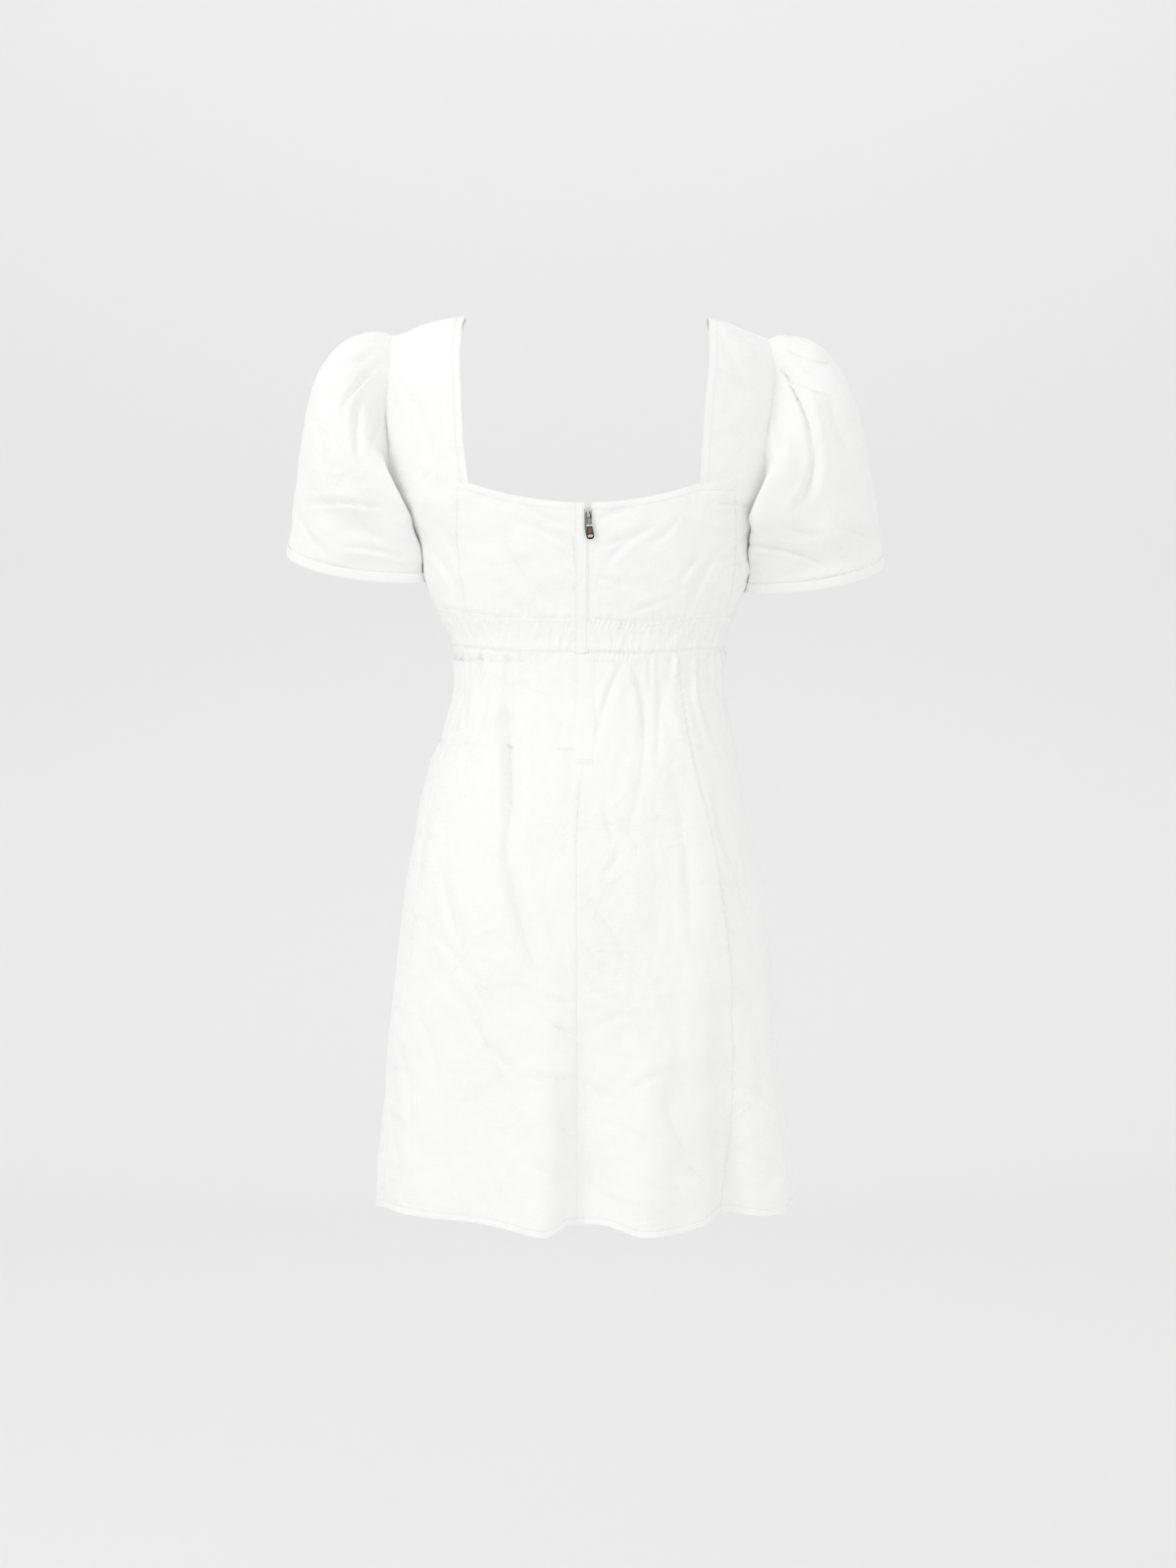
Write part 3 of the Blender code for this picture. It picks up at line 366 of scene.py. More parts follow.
def as_seen(points):
    """Column and row of steps at which the camera sees each point."""
    nearer = -EYE.y / (points[..., 1] - EYE.y)
    x = EYE.x + (points[..., 0] - EYE.x) * nearer
    z = EYE.z + (points[..., 2] - EYE.z) * nearer
    return MIDDLE_COLUMN + x / STEP, TOP_ROW - z / STEP


def drawn(creases, points):
    """Offset of the listed creases. Bow bends a crease, depth is in millimetres."""
    column, row = as_seen(points)
    total = np.zeros(column.shape)
    for c in creases:
        way = np.array((c.to_column - c.column, c.to_row - c.row), float)
        length = np.hypot(*way)
        way /= length
        right, down = column - c.column, row - c.row
        t = (right * way[0] + down * way[1]) / length
        across = (right * way[1] - down * way[0] - 4 * c.bow * t * (1 - t)) / c.width
        across = np.where(across > 0, across, across * STEEP)
        ends = np.clip(4 * t * (1 - t), 0, None) ** 0.8
        line = np.exp(-1.9 * (np.sqrt((across * 1.6) ** 2 + 0.03) - 0.17))
        shoulder = np.exp(-(((np.abs(across) - 1.5) / 0.8) ** 2))
        trough = 0.70 * line + 0.35 * np.exp(-(across**2)) - 0.30 * shoulder
        total += c.depth / 1000 * ends * trough
    return total


def swell(points, shortest, longest, seed, count=14):
    """Slow uneven waves through space, about -1 to 1."""
    draw = np.random.default_rng(seed)
    total = np.zeros(points.shape[:-1])
    for _ in range(count):
        way = draw.normal(size=3)
        way /= np.linalg.norm(way)
        span = draw.uniform(shortest, longest)
        total += np.sin(2 * np.pi * (points @ way) / span + draw.uniform(0, 2 * np.pi))
    return total / math.sqrt(count)


def crumple(points, shortest, longest, seed, tall=1.0):
    """Crossing folds with sharp lines, as in cotton that was worn; tall stretches them."""
    points = points / np.array((1.0, 1.0, tall))
    first = swell(points, shortest, longest, seed)
    second = swell(points, shortest * 0.5, longest * 0.5, seed + 1)
    return np.sqrt(first**2 + 0.003) - 0.6 + 0.5 * (np.sqrt(second**2 + 0.003) - 0.6)


def ridge(across):
    """A ridge of height 1 with a shallow dip on either side."""
    return np.exp(-(across**2)) - 0.35 * np.exp(-(((np.abs(across) - 2.0) / 1.1) ** 2))


def seam_relief(distance, along, pucker=1.0, seed=0):
    """A valley at a seam's edge, with puckers beside it."""
    drift = np.sin(along / 0.021 + seed) + 0.7 * np.sin(along / 0.0089 + 2 * seed)
    slanted = along + 0.5 * distance
    wave = np.sin(2 * np.pi * slanted / PUCKER_PITCH + 1.6 * drift)
    size = 0.6 + 0.4 * np.sin(along / 0.031 + seed)
    valley = -VALLEY_DEPTH * np.exp(-((distance / VALLEY_WIDTH) ** 2))
    ridge_beside = 0.00025 * np.exp(-(((distance - 0.0045) / 0.0028) ** 2))
    fade = np.exp(-((distance / PUCKER_REACH) ** 2))
    return valley + ridge_beside + PUCKER_HEIGHT * pucker * size * wave * fade


print("a step is", STEP * 1000, "mm")

# %% [markdown]
# ## From a grid of points to a cloth object
# A panel is one bmesh grid laid on an array of points. Its UV map is in metres, so a weave keeps
# its real size on every panel, and a Solidify modifier gives the sheet two sides.

# %% Cloth builder
made = {}


def cumulative(points, axis):
    steps = np.linalg.norm(np.diff(points, axis=axis), axis=-1)
    pad = [(0, 0), (0, 0)]
    pad[axis] = (1, 0)
    return np.pad(np.cumsum(steps, axis=axis), pad)


def run_of(line):
    """Length along a line of points, up to each of them."""
    return np.concatenate(([0], np.cumsum(np.linalg.norm(np.diff(line, axis=0), axis=1))))


def normals_of(points):
    across = np.gradient(points, axis=0)
    up = np.gradient(points, axis=1)
    normal = np.cross(across, up)
    return normal / np.maximum(np.linalg.norm(normal, axis=-1, keepdims=True), 1e-12)


def cloth(name, node, points, thick=THIN, closed=False, body="dress"):
    """A sheet object on points[column, row], standing in for a CAD node."""
    columns, rows = points.shape[0] - 1, points.shape[1] - 1
    shape = bmesh.new()
    bmesh.ops.create_grid(shape, x_segments=columns, y_segments=rows, size=0.5)
    mesh = mesh_from(name, shape)
    places = np.empty(len(mesh.vertices) * 3, np.float32)
    mesh.vertices.foreach_get("co", places)
    places = places.reshape(-1, 3)
    column = np.rint((places[:, 0] + 0.5) * columns).astype(int)
    row = np.rint((places[:, 1] + 0.5) * rows).astype(int)
    mesh.vertices.foreach_set("co", points[column, row].astype(np.float32).ravel())
    along, up = cumulative(points, 0), cumulative(points, 1)
    corner = np.empty(len(mesh.loops), np.int32)
    mesh.loops.foreach_get("vertex_index", corner)
    flat = np.stack((along[column, row], up[column, row]), axis=-1)[corner]
    layer = mesh.uv_layers.new(name="cloth_metres")
    layer.data.foreach_set("uv", flat.astype(np.float32).ravel())
    if closed:
        shape = welded(mesh)
        shape.to_mesh(mesh)
        shape.free()
    mesh.shade_smooth()
    obj = linked(name, mesh)
    solidify = obj.modifiers.new("Cloth thickness", "SOLIDIFY")
    solidify.thickness = thick
    solidify.offset = -1
    sided = worked_out(obj)
    obj.modifiers.clear()
    obj.data = sided
    sided.shade_smooth()
    sided.set_sharp_from_angle(angle=math.radians(60))
    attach(obj, body)
    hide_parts(node)
    made[name] = {"obj": obj, "points": points, "normals": normals_of(points)}
    cells = np.cross(np.diff(points, axis=0)[:, :-1], np.diff(points, axis=1)[:-1])
    area = np.linalg.norm(cells, axis=-1).sum()
    size = f"{along[-1].max():.3f} x {up[:, -1].max():.3f} m"
    print(f"{name}: {columns} x {rows}, {size}, area {area:.4f}")


def share_grid(columns, rows):
    return np.meshgrid(np.linspace(0, 1, columns + 1), np.linspace(0, 1, rows + 1), indexing="ij")


def from_edge(points, edge):
    """Distance from one edge of a panel: its low or high column, its bottom or top row."""
    along, up = cumulative(points, 0), cumulative(points, 1)
    return {"low": along, "high": along[-1:] - along, "bottom": up, "top": up[:, -1:] - up}[edge]


def edge_relief(points, edges, pucker=1.0):
    """Seam relief along the named edges, from place alone, so a seam's two sides agree."""
    round_body = 0.15 * np.arctan2(points[..., 0], -points[..., 1])
    total = np.zeros(points.shape[:-1])
    for edge in edges:
        run = points[..., 2] if edge in ("low", "high") else round_body
        total += seam_relief(from_edge(points, edge), run, pucker)
    return total


def held(points, edges, reach=0.004):
    """0 at the named edges and 1 inside: sewn edges stay where they are, so they meet."""
    total = np.ones(points.shape[:-1])
    for edge in edges:
        total *= smoothstep(0.0, reach, from_edge(points, edge))
    return total


def raised(points, offset):
    return points + normals_of(points) * offset[..., None]


# %% [markdown]
# ## Back bodice
# Two panels meet at the zip. Drag folds run from the zip towards the side seams, because the
# closure pulls the cloth in while the straps pull it up.

# %% Back bodice panels
BODICE_CREASES = table(
    Crease,
    (528, 512, 590, 540, -3, 7, -2.2),
    (520, 533, 588, 561, 4, 6, -1.6),
    (512, 548, 580, 628, -8, 12, -3.4),
    (500, 575, 545, 640, -4, 8, -1.6),
    (560, 560, 590, 572, 0, 4, -0.9),
    (604, 536, 648, 520, 3, 6, -2.0),
    (604, 560, 640, 548, -2, 5, -1.4),
    (618, 578, 672, 538, 6, 8, -2.2),
    (662, 556, 694, 524, -5, 6, -1.5),
    (606, 590, 640, 602, 3, 6, -1.3),
    (694, 600, 718, 566, 4, 5, -1.6),
    (704, 622, 738, 560, 4, 6, -1.8),
    (716, 516, 772, 520, 3, 5, -1.8),
    (640, 630, 690, 612, 3, 5, -1.2),
    (440, 560, 470, 620, 4, 7, -2.0),
    (446, 530, 468, 580, 2, 6, -1.5),
    (752, 560, 766, 600, -3, 5, -1.5),
    (484, 506, 520, 520, 2, 6, -1.2),
)
FRONT_BODICE_CREASES = table(
    Crease,
    (488, 560, 556, 600, 6, 8, -2.2),
    (478, 590, 540, 640, -5, 8, -2.4),
    (560, 560, 580, 640, 4, 8, -1.6),
    (712, 552, 650, 600, -6, 8, -2.2),
    (720, 590, 662, 640, 5, 8, -2.4),
    (630, 570, 618, 645, 3, 7, -1.5),
    (500, 545, 700, 548, 4, 5, -0.9),
)
BODICE_ROWS = 52


def facing(points, way=-1):
    """1 where the plain surface faces the camera's side, 0 where it faces away."""
    return smoothstep(0.02, 0.30, normals_of(points)[..., 1] * way)


def bodice_relief(points, edges, pucker=1.0):
    total = drawn(BODICE_CREASES, points) * facing(points)
    total += drawn(FRONT_BODICE_CREASES, points) * facing(points, 1)
    total += 0.0005 * swell(points, 0.022, 0.06, 5) + 0.00014 * swell(points, 0.008, 0.018, 6)
    total += 0.0004 * crumple(points, 0.030, 0.07, 7)
    to_waist = points[..., 2] - WAIST_TOP
    waves = np.sin(2 * np.pi * points[..., 0] / 0.0087 + 3 * swell(points, 0.03, 0.08, 8))
    total += 0.0006 * waves * np.exp(-((to_waist / 0.010) ** 2))
    return total * held(points, ("bottom", "top")) + edge_relief(points, edges, pucker)


def slit(z, side):
    """How far a back panel's edge keeps from the zip's middle line."""
    closed = smoothstep(ZIP_END + 0.010, ZIP_END - 0.004, z)
    if side == "left":
        return mix(0.0030, 0.0, closed)
    beside_slider = smoothstep(PIVOT_Z - 0.016, PIVOT_Z - 0.008, z)
    return mix(mix(-0.0012, 0.0034, beside_slider), 0.0, closed)


def centre_edge(z, side):
    return centre_line(z) + (slit(z, side) if side == "right" else -slit(z, side))


def neckline(x):
    corner = np.where(x < 0, BACK_STRAP[0].left_inner, BACK_STRAP[0].right_inner)
    return mix(NECK_MIDDLE, STRAP_SEAM, np.minimum(np.abs(x) / corner, 1.0) ** 2)


for side in ("left", "right"):
    share, rise = share_grid(64, BODICE_ROWS)
    z = mix(WAIST_TOP, NECK_MIDDLE, rise)
    for _ in range(8):
        middle = angle_of(centre_edge(z, side), z, "back")
        seam = seam_angle(PRINCESS_SEAMS, side, z)
        low, high = (seam, middle) if side == "left" else (middle, seam)
        degrees = mix(low, high, share)
        top = neckline(body_point(degrees, NECK_MIDDLE)[..., 0])
        z = mix(waist_level(degrees, "top"), top, rise)
    points = body_point(degrees, z)
    edges = ("bottom", "low") if side == "left" else ("bottom", "high")
    offset = bodice_relief(points, edges)
    at_zip = points[..., 0] - centre_edge(points[..., 2], side)
    calm = smoothstep(0.0, 0.010, np.abs(at_zip))
    offset = offset * calm
    cloth(f"back_bodice_{side}", f"bodice_back_{side}", raised(points, offset))

# %% [markdown]
# ## Side and front bodice
# The side panels curve up to the armholes. The front is one wide panel with a square neckline.
# The photo does not show the front, so it repeats the back's way of folding, only quieter.


# %% Side and front panels
def armhole_angles(side):
    sign = SIGN[side]
    back = angle_of(sign * getattr(BACK_STRAP[0], f"{side}_outer"), STRAP_SEAM, "back")
    front = angle_of(sign * getattr(FRONT_STRAP[0], f"{side}_outer"), FRONT_STRAP_SEAM, "front")
    return float(back), float(front)


def armhole_level(side, degrees):
    back, front = armhole_angles(side)
    side_seam = 90 * SIGN[side]
    on_back = np.abs(degrees) <= 90
    span = np.where(on_back, abs(back - side_seam), abs(front - side_seam))
    top = np.where(on_back, STRAP_SEAM, FRONT_STRAP_SEAM)
    share = np.minimum(np.abs(degrees - side_seam) / span, 1.0)
    return mix(UNDERARM, top, 1 - np.sqrt(1 - share**2))


for side in ("left", "right"):
    share, rise = share_grid(36, BODICE_ROWS)
    counted = 1 - share if side == "left" else share
    back_end, _ = armhole_angles(side)
    side_seam = 90 * SIGN[side]
    start = float(seam_angle(PRINCESS_SEAMS, side, STRAP_SEAM))
    split = (back_end - start) / (side_seam - start)
    part = np.where(counted <= 0.5, split * counted * 2, mix(split, 1, counted * 2 - 1))
    z = mix(WAIST_TOP, STRAP_SEAM, rise)
    for _ in range(8):
        degrees = mix(seam_angle(PRINCESS_SEAMS, side, z), side_seam, part)
        top = np.where(counted <= 0.5, STRAP_SEAM, armhole_level(side, degrees))
        z = mix(waist_level(degrees, "top"), top, rise)
    points = body_point(degrees, z)
    offset = bodice_relief(points, ("low", "high", "bottom"))
    cloth(f"side_bodice_{side}", f"bodice_side_{side}", raised(points, offset))


def front_top(degrees):
    turned = turn_between(degrees, 0)
    top = np.empty(turned.shape)
    for side, sign in SIGN.items():
        here = turned * sign >= 0
        corner = getattr(FRONT_STRAP[0], f"{side}_inner")
        x = np.abs(body_point(degrees, FRONT_STRAP_SEAM)[..., 0])
        neck = mix(FRONT_NECK_MIDDLE, FRONT_STRAP_SEAM, np.minimum(x / corner, 1.0) ** 6)
        under_arm = np.abs(turned) < abs(armhole_angles(side)[1])
        level = np.where(under_arm, armhole_level(side, turned), neck)
        top = np.where(here, level, top)
    return top


_, right_end = armhole_angles("right")
_, left_end = armhole_angles("left")
neck_right = float(angle_of(FRONT_STRAP[0].right_inner, FRONT_STRAP_SEAM, "front"))
neck_left = float(angle_of(-FRONT_STRAP[0].left_inner, FRONT_STRAP_SEAM, "front")) + 360
UNDERARM_STEPS, CORNER_STEPS, NECK_STEPS = 18, 16, 90
stops = (
    (90, 0),
    (right_end, UNDERARM_STEPS),
    (neck_right, CORNER_STEPS),
    (neck_left, NECK_STEPS),
    (left_end + 360, CORNER_STEPS),
    (270, UNDERARM_STEPS),
)
angles = [90.0]
for (first, _), (last, steps) in zip(stops, stops[1:]):
    angles += [mix(first, last, (i + 1) / steps) for i in range(steps)]
degrees, rise = np.meshgrid(np.array(angles), np.linspace(0, 1, BODICE_ROWS + 1), indexing="ij")
z = mix(waist_level(degrees, "top"), front_top(degrees), rise)
points = body_point(degrees, z)
offset = bodice_relief(points, ("low", "high", "bottom"))
cloth("front_bodice", "bodice_front", raised(points, offset))

# %% [markdown]
# ## Straps
# Wide straps run over the shoulders from the back seam to the front one. Small gathers stand at
# the back seam, where the strap is eased into the side panel.

# %% Straps
STRAP_CREASES = table(
    Crease,
    (404, 470, 470, 490, -6, 5, -1.7),
    (408, 488, 456, 496, 2, 4, -1.4),
    (430, 478, 440, 496, 0, 3, -1.0),
    (446, 480, 450, 497, 0, 3, -1.0),
    (410, 400, 440, 470, 8, 8, -1.8),
    (404, 372, 430, 420, -5, 7, -1.6),
    (440, 360, 452, 460, 5, 9, -1.1),
    (420, 350, 462, 352, 4, 6, -1.0),
    (726, 372, 784, 402, -5, 6, -1.9),
    (724, 408, 778, 430, 5, 7, -1.3),
    (722, 460, 776, 440, 5, 8, -1.4),
    (722, 488, 772, 476, -3, 5, -1.2),
    (740, 342, 772, 362, 3, 5, -1.0),
)


def even(t):
    """Rows closer together where the strap turns over the shoulder and into its seams."""
    a, b = np.abs(t) ** 1.45, (1 - np.abs(t)) ** 1.45
    return np.sign(t) * a / (a + b)


def strap_point(side, across, along):
    sign = SIGN[side]
    on_back = along <= 0
    turn = (1 - np.abs(along)) * np.pi / 2
    rise = np.sin(turn) ** (2 / STRAP_ROUNDNESS)

    def edge(which):
        column = f"{side}_{which}"
        back = curve_through(BACK_STRAP, column)(rise)
        return np.where(on_back, back, curve_through(FRONT_STRAP, column)(rise))

    x = mix(edge("inner"), edge("outer"), across)
    low = np.where(on_back, STRAP_SEAM, FRONT_STRAP_SEAM)
    depth = np.where(on_back, half_size["back"](low), half_size["front"](low))
    share = np.minimum(x / half_size[side](low), 1.0)
    reach = depth * (1 - share**ROUNDNESS) ** (1 / ROUNDNESS)
    y = reach * np.maximum(np.cos(turn), 0.0) ** (2 / STRAP_ROUNDNESS)
    z = mix(low, curve_through(SHOULDER_LINE, side)(x), rise)
    return stacked(sign * x, np.where(on_back, -y, y), z)


for side in ("left", "right"):
    share, t = share_grid(30, 120)
    points = strap_point(side, 1 - share if side == "left" else share, even(2 * t - 1))
    offset = drawn(STRAP_CREASES, points) * facing(points)
    folds = 0.0005 * swell(points, 0.020, 0.05, 11)
    offset += folds + 0.0004 * crumple(points, 0.030, 0.07, 12, 2.0)
    outer = "low" if side == "left" else "high"
    offset = offset * held(points, ("bottom", "top", outer))
    offset = offset + edge_relief(points, ("bottom", "top"))
    cloth(f"strap_over_{side}", f"strap_{side}", raised(points, offset))

# %% [markdown]
# ## Waistband
# A 3 cm band, ruched by the elastic inside it. It is calm beside the zip and tight at the sides,
# so the depth of its gathers follows how far round the body they stand.


# %% Waistband
def gathered(degrees):
    away = np.abs(turn_between(degrees, 2))
    return 0.22 * smoothstep(6, 14, away) + 0.78 * smoothstep(20, 50, away)


def ruches(degrees, z):
    turn = np.radians(degrees)
    fall = z / 0.030
    drift = 1.3 * np.sin(5 * turn + 0.7 + 0.4 * fall) + 0.8 * np.sin(13 * turn + 2.1 + 0.9 * fall)
    total = np.sin(92 * turn + 2 * drift) + 0.7 * np.sin(57 * turn + 1.7 * drift + 0.8 * fall)
    return total + 0.4 * np.sin(163 * turn - drift + 1.4 * fall)


share, rise = share_grid(620, 22)
z = np.full(share.shape, (WAIST_TOP + WAIST_BOTTOM) / 2)
for _ in range(4):
    first = angle_of(centre_edge(z, "right"), z, "back")
    last = angle_of(centre_edge(z, "left"), z, "back") + 360
    degrees = mix(first, last, share)
    z = mix(waist_level(degrees, "bottom"), waist_level(degrees, "top"), rise)
points = body_point(degrees, z)
swollen = np.sqrt(np.clip(1 - (2 * rise - 1) ** 2, 0, None))
squeezed = points * np.array((3.0, 3.0, 1.0))
offset = 0.00022 * gathered(degrees) * ruches(degrees, z) * swollen
bulge = 0.0005 + 0.0006 * crumple(squeezed, 0.020, 0.050, 21)
bulge += 0.0003 * swell(squeezed, 0.012, 0.030, 23)
offset += bulge * swollen
offset += edge_relief(points, ("bottom", "top"), 1.3)
cloth("ruched_waistband", "waistband", raised(points, offset))

# %% [markdown]
# ## Skirt
# Gathers start at the waist seam and die out over 3 to 13 cm. Below them the skirt flares, sways
# into flutes at the hem, and carries the drag folds and crumples of cotton that was worn.

# %% Skirt relief
Flute = namedtuple("Flute", "degrees width depth")
FLUTES = table(
    Flute,
    (-62, 0.026, 0.0040),
    (-42, 0.026, -0.0080),
    (-15, 0.024, 0.0120),
    (-1, 0.018, -0.0140),
    (22, 0.024, 0.0120),
    (51, 0.017, -0.0200),
    (69, 0.020, 0.0060),
    (112, 0.030, 0.0060),
    (135, 0.026, -0.0050),
    (160, 0.030, 0.0060),
    (-175, 0.026, -0.0050),
    (-152, 0.030, 0.0060),
    (-128, 0.026, -0.0050),
    (-108, 0.026, 0.0050),
)
HemRise = namedtuple("HemRise", "degrees rise")
HEM_LINE = table(
    HemRise,
    (-180, 0.000),
    (-90, 0.000),
    (-70, 0.008),
    (-43, 0.007),
    (-30, 0.004),
    (-14, -0.0015),
    (-6, 0.0075),
    (6, 0.0075),
    (20, -0.0015),
    (30, -0.001),
    (39, 0.003),
    (51, 0.012),
    (63, 0.005),
    (78, 0.004),
    (92, 0.000),
    (180, 0.000),
)
hem_rise = curve_through(HEM_LINE, "rise")
FLUTES_START = -0.520
SKIRT_CREASES = table(
    Crease,
    (511, 690, 517, 880, 5, 12, -7.5),
    (514, 850, 552, 1010, -6, 13, -6.5),
    (634, 678, 610, 752, -4, 7, -2.4),
    (644, 678, 657, 752, 4, 6, -2.2),
    (604, 704, 608, 764, 2, 5, -1.6),
    (672, 690, 668, 790, 3, 7, -1.6),
    (660, 700, 640, 860, 6, 13, -2.0),
    (616, 812, 632, 866, -4, 7, -1.8),
    (634, 862, 614, 894, 3, 6, -1.6),
    (594, 915, 640, 985, 5, 8, -2.3),
    (624, 975, 684, 1016, 4, 8, -2.0),
    (592, 960, 640, 1010, -4, 7, -1.4),
    (448, 880, 480, 985, -5, 9, -2.6),
    (440, 950, 506, 1060, 8, 9, -2.4),
    (452, 1000, 524, 1165, 12, 11, -2.6),
    (420, 1020, 446, 1120, 5, 9, -2.0),
    (404, 1060, 420, 1190, 5, 9, -1.8),
    (478, 1040, 540, 1110, -6, 8, -1.6),
    (552, 1020, 590, 1030, 3, 5, -1.6),
    (556, 1040, 600, 1062, -4, 5, -1.6),
    (600, 1016, 650, 1036, 5, 6, -1.5),
    (608, 1050, 660, 1040, 5, 6, -1.5),
    (530, 1104, 592, 1108, 4, 5, -1.9),
    (596, 1106, 646, 1126, -6, 6, -1.6),
    (636, 1122, 690, 1094, 5, 6, -1.7),
    (560, 1140, 586, 1180, 4, 6, -1.3),
    (600, 1150, 660, 1170, 6, 7, -1.4),
    (676, 1110, 706, 1190, -5, 9, -1.8),
    (690, 1190, 724, 1214, 3, 5, -1.7),
    (640, 1200, 700, 1222, -5, 6, -1.5),
    (520, 1190, 580, 1215, 6, 7, -1.5),
    (600, 1215, 668, 1236, -6, 5, -1.2),
    (728, 800, 756, 905, -4, 8, -1.9),
    (744, 870, 772, 990, 5, 8, -1.8),
    (764, 1010, 776, 1140, 4, 8, -1.6),
    (690, 800, 706, 960, 5, 12, -1.6),
    (760, 1180, 796, 1206, 5, 6, -1.8),
    (462, 690, 446, 790, -3, 6, -2.2),
    (474, 700, 470, 800, 3, 6, -1.6),
    (444, 800, 424, 930, -4, 7, -2.2),
    (436, 702, 464, 718, 3, 4, -1.3),
    (432, 742, 458, 752, -3, 4, -1.2),
    (424, 790, 454, 800, 3, 4, -1.3),
    (420, 842, 448, 858, -3, 4, -1.4),
    (412, 884, 442, 892, 2, 4, -1.2),
    (406, 932, 438, 950, 4, 4, -1.4),
    (402, 982, 432, 992, -3, 4, -1.2),
    (398, 1032, 428, 1048, 3, 4, -1.3),
    (394, 1090, 424, 1098, -3, 4, -1.2),
    (390, 1142, 420, 1158, 3, 4, -1.3),
    (388, 1192, 416, 1200, -2, 4, -1.1),
    (700, 718, 724, 728, 2, 3, -1.0),
    (704, 760, 730, 764, -2, 3, -1.1),
    (710, 800, 738, 812, 3, 3, -1.1),
    (720, 850, 748, 856, -2, 3, -1.0),
    (728, 900, 758, 914, 3, 4, -1.2),
    (736, 952, 764, 956, -2, 3, -1.0),
    (742, 1010, 770, 1022, 3, 4, -1.1),
    (746, 1070, 774, 1074, -2, 3, -1.0),
    (748, 1130, 778, 1144, 3, 4, -1.1),
)
FRONT_SKIRT_CREASES = table(
    Crease,
    (520, 690, 500, 860, 6, 11, -3.2),
    (560, 690, 566, 830, -5, 9, -2.2),
    (604, 690, 600, 900, 6, 12, -2.4),
    (640, 690, 652, 840, 5, 9, -2.2),
    (690, 690, 720, 880, -6, 11, -3.2),
    (500, 880, 450, 1010, 8, 10, -2.2),
    (700, 880, 752, 1020, -8, 10, -2.2),
    (530, 960, 640, 990, 10, 8, -1.8),
    (560, 1020, 680, 1010, -8, 7, -1.7),
    (520, 1080, 600, 1110, 6, 7, -1.7),
    (620, 1120, 700, 1090, 7, 7, -1.7),
    (470, 1100, 500, 1210, 5, 9, -1.8),
    (700, 1120, 720, 1220, -5, 9, -1.8),
)
GATHER_COUNT = 112
gather_draw = np.random.default_rng(31)
Gather = namedtuple("Gather", "degrees slant width length depth")
SKIRT_GATHERS = [
    Gather(
        360 * (i + gather_draw.uniform(0.1, 0.9)) / GATHER_COUNT,
        gather_draw.uniform(-5, 5),
        gather_draw.uniform(0.0018, 0.0036),
        gather_draw.uniform(0.030, 0.130),
        gather_draw.uniform(0.0010, 0.0030),
    )
    for i in range(GATHER_COUNT)
]


def skirt_gathers(degrees, z):
    radius = radius_at(degrees, z)
    fall = WAIST_BOTTOM - z
    total = np.zeros(degrees.shape)
    for g in SKIRT_GATHERS:
        middle = g.degrees + g.slant * fall / 0.1
        arc = np.radians(turn_between(degrees, middle)) * radius
        width = g.width * (1 + 10 * np.clip(fall, 0, None))
        fade = np.clip(1 - fall / g.length, 0, 1) ** 1.1
        total += g.depth * fade * ridge(arc / width)
    return total * gathered(degrees) * smoothstep(-0.001, 0.006, fall)


def flute_offset(degrees, z):
    radius = radius_at(degrees, z)
    total = np.zeros(degrees.shape)
    for flute in FLUTES:
        arc = np.radians(turn_between(degrees, flute.degrees)) * radius
        total += flute.depth * np.exp(-((arc / flute.width) ** 2))
    return total * smoothstep(FLUTES_START, HEM, z) ** 1.2


def hem_roll(up, width=0.0055):
    """A narrow turned hem: a soft roll below its line of stitches."""
    roll = 0.0007 * np.clip(1 - (up / width) ** 4, 0, 1)
    return roll - 0.0005 * np.exp(-(((up - width) / 0.0012) ** 2))


def skirt_relief(points, degrees, edges):
    z = points[..., 2]
    low = smoothstep(-0.50, -0.70, z)
    total = skirt_gathers(degrees, z) + drawn(SKIRT_CREASES, points) * facing(points)
    total += drawn(FRONT_SKIRT_CREASES, points) * facing(points, 1)
    total += 0.0009 * swell(points, 0.040, 0.10, 32)
    folds = 0.0011 * low * crumple(points, 0.050, 0.12, 34)
    total += folds + 0.0008 * crumple(points, 0.045, 0.10, 38, 4.0)
    total += 0.00016 * swell(points, 0.009, 0.018, 36)
    total = total * held(points, ("top",)) + flute_offset(degrees, z)
    return total + hem_roll(cumulative(points, 1)) + edge_relief(points, edges, 1.1)


print("gathers:", len(SKIRT_GATHERS), "flutes:", len(FLUTES))

# %% [markdown]
# Three panels: two at the back, which meet below the zip in a seam with the left one lapping a
# little, and one that goes all the way round the front.


# %% Skirt panels
def skirt_edges(panel, z):
    right = seam_angle(SIDE_SEAMS, "right", z)
    left = seam_angle(SIDE_SEAMS, "left", z)
    if panel == "front":
        return right, left + 360
    middle = angle_of(centre_edge(z, panel), z, "back")
    return (left, middle) if panel == "left" else (middle, right)


